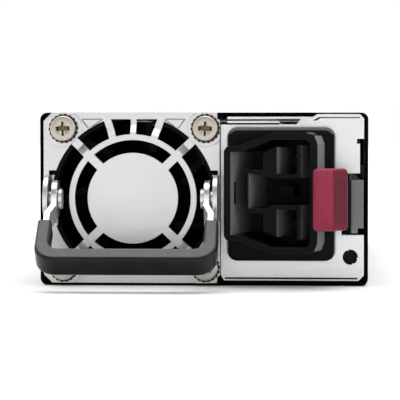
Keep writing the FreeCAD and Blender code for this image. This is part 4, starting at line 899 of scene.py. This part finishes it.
@dataclass
class FrontGuard:
    """Pressed guard over the fan, with its screws and star washers.

    The head profile gives shares of the head's radius and height. Each pair of recess arms has its
    turn in degrees and half its width. Each recess level has its depth, the arms' reach there and
    the share of their width.
    """

    # The guard sheet and the screw heads get strong painted shade in their creases and recesses.
    plate: SheetSteel = SheetSteel(
        "guard_sheet", (0.635, 0.64, 0.645), edge_tint=(0.74, 0.75, 0.76), painted_crease_shade=0.9, painted_crease_shade_reach=0.5 * MM
    )
    screw: SheetSteel = SheetSteel(
        "nickel_screw", (0.52, 0.48, 0.41), 0.4, Grain.NONE, edge_tint=(0.66, 0.63, 0.57), painted_crease_shade=0.95
    )
    # Faces cut by the recesses are painted dark brown, as the shade inside them.
    recess: SheetSteel = SheetSteel(
        "recess_shade", (0.17, 0.15, 0.118), 0.36, Grain.NONE, edge_tint=(0.3, 0.27, 0.22)
    )
    # Near-black star washers whose bright edges paint glints on the teeth.
    washer: SheetSteel = SheetSteel(
        "star_washer", (0.008, 0.0075, 0.007), 0.2, Grain.NONE, edge_tint=(0.6, 0.58, 0.55)
    )
    head_radius: float = 2.85 * MM
    head_height: float = 1.7 * MM
    head_profile: tuple[tuple[float, float], ...] = (
        (0.0, 0.0),
        (0.6, 0.004),
        (0.9, 0.02),
        (0.955, 0.07),
        (0.99, 0.2),
        (1.0, 0.4),
        (1.0, 0.92),
        (0.97, 1.0),
    )
    head_sides: int = 64
    shank_radius: float = 1.3 * MM
    shank_length: float = 9.0 * MM
    shank_tip: float = 0.4 * MM
    recess_turns: tuple[float, ...] = (1.5, -2.0, 24.0, 2.5)
    recess_arms: tuple[tuple[float, float], ...] = ((0.0, 0.46 * MM), (90.0, 0.27 * MM))
    recess_levels: tuple[Triple, ...] = (
        (-0.4 * MM, 1.75 * MM, 1.1),
        (1.3 * MM, 1.05 * MM, 0.8),
    )
    washer_radius: float = 3.35 * MM
    washer_hole: float = 1.45 * MM
    tooth_root: float = 2.65 * MM
    tooth_gap: float = 0.22 * MM
    tooth_twist: float = 0.14
    teeth: int = 18

    def build(self) -> None:
        """Dresses the guard and builds its fasteners."""
        dress("fan_guard", self.plate)
        self._screws()
        self._washers()

    def _screws(self) -> None:
        """Four pan heads with a cross recess, which stand for the plain screws."""
        places = corner_places("fan_screws", self.head_radius)
        profile = [(r * self.head_radius, h * self.head_height) for r, h in self.head_profile]
        end = self.head_height + self.shank_length
        profile.append((self.shank_radius, self.head_height))
        profile.append((self.shank_radius, end))
        profile.append((0.0, end + self.shank_tip))
        shape = bmesh.new()
        for place in places:
            lathe(shape, profile, place, self.head_sides)
        heads = mesh_piece("guard_screws", shape, self.screw.material(), smooth_below=40.0)
        carve(heads, self._recess_cutter(places))
        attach(heads, "supply")
        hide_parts("fan_screws")

    def _recess_cutter(self, places: Sequence[Vector]) -> bpy.types.Object:
        """Tapered crosses that cut the recesses, with one pair of arms wider for a plain blade.

        Args:
            places: the screws' front centres.

        Returns:
            The cutter.
        """
        shape = bmesh.new()
        for place, turn in zip(places, self.recess_turns):
            for arm, half in self.recess_arms:
                spin = Matrix.Rotation(math.radians(arm + turn), 4, "Y")
                self._wedge(shape, place, spin, half)
        return mesh_piece("recess_cutter", shape, self.recess.material())

    def _wedge(self, shape: bmesh.types.BMesh, place: Vector, spin: Matrix, half: float) -> None:
        """Adds one pair of recess arms, narrower at their floor.

        Args:
            shape: geometry that gets it.
            place: the screw's front centre.
            spin: turn about the screw's axis.
            half: half of the arms' width.
        """
        corners = []
        for depth, reach, share in self.recess_levels:
            for sx, sz in ((-1, -1), (1, -1), (1, 1), (-1, 1)):
                corner = spin @ Vector((sx * reach, depth, sz * half * share))
                corners.append(shape.verts.new(place + corner))
        mouth, floor = corners[:4], corners[4:]
        shape.faces.new(mouth)
        shape.faces.new(floor)
        for n in range(4):
            m = (n + 1) % 4
            shape.faces.new((mouth[n], mouth[m], floor[m], floor[n]))

    def _washers(self) -> None:
        """Star washers with twisted teeth, which stand for the plain ones."""
        shape = bmesh.new()
        low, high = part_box("lock_washers")
        thick = high.y - low.y
        for place in corner_places("lock_washers", self.washer_radius):
            self._star(shape, place, thick)
        stars = mesh_piece("star_washers", shape, self.washer.material(), smooth_below=30.0)
        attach(stars, "supply")
        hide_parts("lock_washers")

    def _star(self, shape: bmesh.types.BMesh, place: Vector, thick: float) -> None:
        """Adds one washer.

        Args:
            shape: geometry that gets it.
            place: its front centre.
            thick: its thickness.
        """
        rings = ((self.washer_hole, False), (self.tooth_root, False), (self.washer_radius, True))
        front: list[list[bmesh.types.BMVert]] = []
        back: list[list[bmesh.types.BMVert]] = []
        steps = self.teeth * 4
        for radius, toothed in rings:
            front.append([])
            back.append([])
            for n in range(steps):
                reach = radius - self.tooth_gap if toothed and n % 4 >= 2 else radius
                lift = self.tooth_twist * thick if toothed and n % 4 == 0 else 0.0
                turn = 2 * math.pi * n / steps
                ray = Vector((math.cos(turn), 0.0, math.sin(turn))) * reach
                front[-1].append(shape.verts.new(place + ray + Vector((0, lift, 0))))
                back[-1].append(shape.verts.new(place + ray + Vector((0, thick - lift * 0.3, 0))))
        for n in range(steps):
            m = (n + 1) % steps
            for ring in (0, 1):
                near, far = front[ring], front[ring + 1]
                shape.faces.new((near[n], near[m], far[m], far[n]))
                near, far = back[ring], back[ring + 1]
                shape.faces.new((near[n], far[n], far[m], near[m]))
            for ring in (0, 2):
                shape.faces.new((front[ring][n], front[ring][m], back[ring][m], back[ring][n]))


@dataclass
class BailHandle:
    """Fold-out bail with steel arms and an overmoulded grip."""

    arms: SheetSteel = SheetSteel("bail_steel", (0.80, 0.81, 0.82), 0.26, Grain.UPRIGHT)
    pins: SheetSteel = SheetSteel("pivot_steel", (0.74, 0.75, 0.76), 0.3, Grain.NONE)
    # The grip's paler up-facing faces are dust and a painted sheen.
    grip: Moulded = Moulded(
        "grip_overmould", (0.003, 0.003, 0.0034), 0.3, Texture.SPARK, (0.03, 0.03, 0.033), 0.2, dust=0.21
    )

    def build(self) -> None:
        """Dresses the handle."""
        dress("handle_arms", self.arms)
        dress("pivot_pins", self.pins)
        dress("handle_grip", self.grip)


@dataclass
class InletSide:
    """Inlet plate with the mains inlet, its contacts and the status light.

    Each burr has its start and end in degrees. Each burr point has its share of the burr's width
    from the hole's edge inwards, a reach beyond that edge and a depth behind the plate's front.
    """

    # The inlet sheet gets strong painted shade in its creases.
    plate: SheetSteel = SheetSteel(
        "inlet_sheet", (0.69, 0.695, 0.70), edge_tint=(0.76, 0.77, 0.78), painted_crease_shade=0.95, painted_crease_shade_reach=0.5 * MM
    )
    plate_face: float = 0.08 * MM
    housing: SocketMoulding = SocketMoulding("inlet_moulding")
    # The contacts are painted near black, as the shade deep in the socket.
    contact: SheetSteel = SheetSteel(
        "contact_blade", (0.006, 0.006, 0.006), 0.42, edge_tint=(0.02, 0.02, 0.02)
    )
    # The light pipe is painted near black, as the shade of a deep hole.
    pipe: ShadedPipePlastic = ShadedPipePlastic("light_pipe_acrylic")
    pipe_flange: float = 0.6 * MM
    burr: SheetSteel = SheetSteel(
        "burred_rim", (0.9, 0.9, 0.91), 0.2, Grain.NONE, edge_tint=(1.0, 1.0, 1.0), painted_crease_shade=0.0
    )
    burrs: tuple[tuple[float, float], ...] = ((-22.0, -2.0), (-80.0, -58.0), (99.0, 118.0))
    burr_points: tuple[Triple, ...] = (
        (0.0, 0.05 * MM, 0.02 * MM),
        (0.3, 0.0, -0.06 * MM),
        (1.0, 0.0, 0.05 * MM),
    )
    burr_end: float = 0.06 * MM
    burr_swell: float = 0.24 * MM
    burr_steps: int = 10
    lamp: Moulded = Moulded("lamp_body", (0.62, 0.66, 0.5), 0.3, Texture.SMOOTH, wear_and_highlight=(0.8, 0.8, 0.7))
    board: Laminate = Laminate("inlet_laminate")
    disc: Moulded = Moulded("disc_dip", (0.03, 0.13, 0.42), 0.25, Texture.SMOOTH, wear_and_highlight=(0.1, 0.2, 0.5))

    def build(self) -> None:
        """Dresses the inlet side."""
        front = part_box("inlet_plate")[0].y
        # All of the inlet sheet that lies behind its front face gets painted shade.
        dress("inlet_plate", replace(self.plate, painted_shade_from=front + self.plate_face))
        dress("inlet_housing", self.housing)
        dress("inlet_pins", self.contact)
        dress("light_pipe", self.pipe)
        self._pipe_rim()
        dress("status_lamp", self.lamp)
        dress("inlet_board", self.board)
        dress("disc_capacitors", self.disc)

    def _pipe_rim(self) -> None:
        """Bright burrs round the edge of the light pipe's hole."""
        low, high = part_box("light_pipe")
        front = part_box("inlet_plate")[0].y
        radius = (high.x - low.x) / 2 - self.pipe_flange
        centre = Vector(((low.x + high.x) / 2, front, (low.z + high.z) / 2))
        shape = bmesh.new()
        for start, end in self.burrs:
            self._burr(shape, centre, radius, math.radians(start), math.radians(end))
        burrs = mesh_piece("pipe_hole_burrs", shape, self.burr.material(), smooth_below=60.0)
        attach(burrs, "supply")

    def _burr(
        self,
        shape: bmesh.types.BMesh,
        centre: Vector,
        radius: float,
        start: float,
        end: float,
    ) -> None:
        """Adds one raised sliver of metal that tapers to both ends.

        Args:
            shape: geometry that gets it.
            centre: the hole's centre on the plate's front.
            radius: the hole's radius.
            start: angle where it starts.
            end: angle where it ends.
        """
        rings = []
        for n in range(self.burr_steps + 1):
            share = n / self.burr_steps
            width = self.burr_end + math.sin(math.pi * share) * self.burr_swell
            turn = start + (end - start) * share
            ray = Vector((math.cos(turn), 0.0, math.sin(turn)))
            ring = []
            for inwards, beyond, depth in self.burr_points:
                place = ray * (radius + beyond - width * inwards)
                ring.append(shape.verts.new(centre + place + Vector((0.0, depth, 0.0))))
            rings.append(ring)
        for near, far in zip(rings, rings[1:]):
            for n in range(3):
                m = (n + 1) % 3
                shape.faces.new((near[n], near[m], far[m], far[n]))
        shape.faces.new(rings[0])
        shape.faces.new(rings[-1])


@dataclass
class ReleaseLatch:
    """Spring strip with its moulded thumb tab."""

    # Left of x = 33.1 mm, beside the tab, the strip gets a painted shadow of the tab, near black.
    strip: SheetSteel = SheetSteel(
        "spring_strip",
        (0.16, 0.16, 0.165),
        0.36,
        Grain.ALONG,
        edge_tint=(0.42, 0.42, 0.43),
        painted_shadow_to=33.1 * MM,
    )
    rivet: SheetSteel = SheetSteel(
        "rivet_steel", (0.1, 0.1, 0.105), 0.4, Grain.NONE, edge_tint=(0.4, 0.4, 0.4)
    )
    # The tab's lighter edges are a painted highlight, and its right-facing slant and grooves get painted
    # shade.
    tab: Moulded = Moulded(
        "thumb_tab",
        (0.21, 0.021, 0.044),
        0.42,
        wear_and_highlight=(0.42, 0.12, 0.17),
        gloss=0.09,
        soften=0.4 * MM,
        wear_and_highlight_share=0.5,
        flank_shade=0.55,
        edge_reach=0.6 * MM,
    )

    def build(self) -> None:
        """Dresses the latch."""
        dress("latch_arm", self.strip)
        dress("latch_root", self.strip)
        dress("latch_rivets", self.rivet)
        dress("latch_tab", self.tab)


@dataclass
class Converter:
    """Board with the converter's parts, and the card-edge contacts.

    Each finish comes with the pieces that are dressed in it.
    """

    finishes: tuple[tuple[Any, tuple[str, ...]], ...] = (
        (Laminate("board_laminate"), ("main_board", "control_card")),
        (
            SheetSteel("gold_plate", (0.95, 0.68, 0.24), 0.24, Grain.ALONG, edge_tint=(1.0, 0.8, 0.4)),
            ("card_contacts",),
        ),
        (
            SheetSteel("turned_brass", (0.78, 0.6, 0.28), 0.3, Grain.NONE, edge_tint=(0.9, 0.76, 0.45)),
            ("standoffs",),
        ),
        (SheetSteel("board_screw_steel", (0.66, 0.66, 0.66), 0.32, Grain.NONE), ("board_screws",)),
        (Moulded("insulating_film", (0.03, 0.03, 0.032), 0.3, Texture.SMOOTH), ("insulator_sheet",)),
        (
            Sintered("ferrite", (0.035, 0.035, 0.037)),
            ("filter_choke_core", "boost_choke_core", "transformer_core", "resonant_choke"),
        ),
        (
            Wound("choke_wire", (0.70, 0.31, 0.12), (0.2, 0.07, 0.03), 700.0, "Y"),
            ("filter_choke_coils", "boost_choke_winding"),
        ),
        (
            Wound("yellow_tape", (0.72, 0.52, 0.08), (0.5, 0.34, 0.05), 260.0, metal=0.0),
            ("transformer_windings", "standby_transformer"),
        ),
        (
            Moulded("base_moulding", (0.02, 0.02, 0.022)),
            ("choke_bases", "capacitor_cradle", "transformer_bobbin"),
        ),
        (
            Moulded("film_shell", (0.72, 0.52, 0.05), 0.28, Texture.SMOOTH, wear_and_highlight=(0.8, 0.65, 0.2)),
            ("film_capacitors",),
        ),
        (
            Moulded("fuse_barrel", (0.62, 0.6, 0.5), 0.3, Texture.SMOOTH, wear_and_highlight=(0.7, 0.7, 0.65)),
            ("input_fuse",),
        ),
        (
            Sintered("chip_epoxy", (0.016, 0.016, 0.017), 0.5),
            ("bridge_rectifier", "power_transistors", "control_chips"),
        ),
        (Moulded("relay_shell", (0.02, 0.03, 0.05), 0.25, Texture.SMOOTH), ("inrush_relay",)),
        (Moulded("shrink_sleeve", (0.012, 0.012, 0.02), 0.24, Texture.SMOOTH), ("bulk_capacitor",)),
        (
            SheetSteel("heat_sink", (0.70, 0.71, 0.72), 0.38, Grain.UPRIGHT),
            ("switch_heat_sink", "output_heat_sink"),
        ),
        (SheetSteel("drawn_can", (0.76, 0.76, 0.77), 0.3, Grain.UPRIGHT), ("output_capacitors",)),
        (SheetSteel("tinned_bar", (0.72, 0.5, 0.36), 0.3, Grain.ALONG), ("output_bus_bars",)),
        (Moulded("header_nylon", (0.78, 0.76, 0.68), 0.4, wear_and_highlight=(0.85, 0.84, 0.8)), ("fan_header",)),
    )

    def build(self) -> None:
        """Dresses everything that stands on the board."""
        for finish, nodes in self.finishes:
            material = finish.material()
            for node in nodes:
                dress(node, material)


# ---------------- studio
@dataclass(frozen=True)
class Softbox:
    """A square lamp, given by its place in metres, its side and its power in watts."""

    name: str
    place: Triple
    side: float
    power: float

    def hang(self, target: Triple) -> None:
        """Adds the lamp and points it.

        Args:
            target: what it points at.
        """
        data = bpy.data.lights.new(self.name, "AREA")
        data.shape = "SQUARE"
        data.size = self.side
        data.energy = self.power
        lamp = bpy.data.objects.new(self.name, data)
        lamp.location = self.place
        way = Vector(target) - Vector(self.place)
        lamp.rotation_euler = way.to_track_quat("-Z", "Y").to_euler()
        bpy.context.scene.collection.objects.link(lamp)


@dataclass
class Studio:
    """Pale floor, soft light and the camera. The eye and the aim are taken from the front plate."""

    floor_tint: Colour = (0.92, 0.92, 0.92)
    floor_half: float = 6.0
    floor_drop: float = 0.02 * MM
    front_grey: float = 0.28
    grey_until: float = -0.65
    white_from: float = -0.05
    sun_from: Triple = (0.05, 0.24, 1.0)
    sun_power: float = 2.3
    sun_spread: float = 60.0
    lamps: tuple[Softbox, ...] = (
        Softbox("front_card", (-0.03, -0.95, 0.12), 0.75, 1.45),
        Softbox("right_softbox", (0.7, -0.62, 0.22), 0.35, 1.7),
        Softbox("left_softbox", (-0.75, -0.45, 0.35), 0.35, 1.2),
    )
    lamp_target: Triple = (0.0, -0.09, 0.02)
    eye: Triple = (24.0 * MM, -450.0 * MM, 34.0 * MM)
    aim: tuple[float, float] = (-0.8 * MM, 19.3 * MM)
    width_seen: float = 90.2 * MM
    sensor: float = 36.0
    clip_start: float = 10.0 * MM

    def build(self) -> None:
        """Sets up floor, world, lights and camera."""
        bpy.context.scene.view_settings.view_transform = "Standard"
        self._floor()
        self._world()
        self._sun()
        for lamp in self.lamps:
            lamp.hang(self.lamp_target)
        self._camera()

    def _floor(self) -> None:
        """A large pale plane under the supply."""
        shape = bmesh.new()
        bmesh.ops.create_grid(shape, x_segments=1, y_segments=1, size=self.floor_half)
        g = Graph("floor_paint")
        colour = g.mix(self.floor_tint, shaded(self.floor_tint, 0.985), g.noise(3.0, 2.0))
        paint = g.surface(Base_Color=colour, Roughness=0.9, Specular_IOR_Level=0.1)
        floor = mesh_piece("studio_floor", shape, paint)
        floor.location.z = -self.floor_drop

    def _world(self) -> None:
        """White surroundings that fall off to grey in front of the supply."""
        world = bpy.data.worlds.new("studio_world")
        bpy.context.scene.world = world
        world.use_nodes = True
        sky = Nodes(world.node_tree)
        background = sky.tree.nodes["Background"]
        background.inputs["Strength"].default_value = 1.0
        way = sky.node("ShaderNodeTexCoord", result="Generated")
        depth = sky.node("ShaderNodeSeparateXYZ", None, {0: way}, "Y")
        grey = depth.between(self.grey_until, self.white_from, self.front_grey, 1.0)
        sky.feed(background.inputs["Color"], grey)

    def _sun(self) -> None:
        """A wide soft sun overhead."""
        data = bpy.data.lights.new("overhead", "SUN")
        data.energy = self.sun_power
        data.angle = math.radians(self.sun_spread)
        sun = bpy.data.objects.new("overhead", data)
        sun.rotation_euler = (-Vector(self.sun_from)).to_track_quat("-Z", "Y").to_euler()
        bpy.context.scene.collection.objects.link(sun)

    def _camera(self) -> None:
        """A long lens, level with the upper edge and a little to the inlet's side."""
        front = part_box("inlet_plate")[0].y
        eye = Vector((self.eye[0], front + self.eye[1], self.eye[2]))
        aim = Vector((self.aim[0], front, self.aim[1]))
        data = bpy.data.cameras.new("camera")
        data.sensor_width = self.sensor
        data.lens = self.sensor * (aim - eye).length / self.width_seen
        data.clip_start = self.clip_start
        camera = bpy.data.objects.new("camera", data)
        camera.location = eye
        camera.rotation_euler = (aim - eye).to_track_quat("-Z", "Y").to_euler()
        bpy.context.scene.collection.objects.link(camera)
        bpy.context.scene.camera = camera


def main() -> None:
    """Builds each sub-assembly in order."""
    logging.basicConfig(level=logging.INFO, format="%(name)s: %(message)s")
    makers = (CaseShell, FanUnit, FrontGuard, BailHandle, InletSide, ReleaseLatch, Converter, Studio)
    for maker in makers:
        maker().build()
        LOG.info("%s done", maker.__name__)


if __name__ == "__main__":
    main()
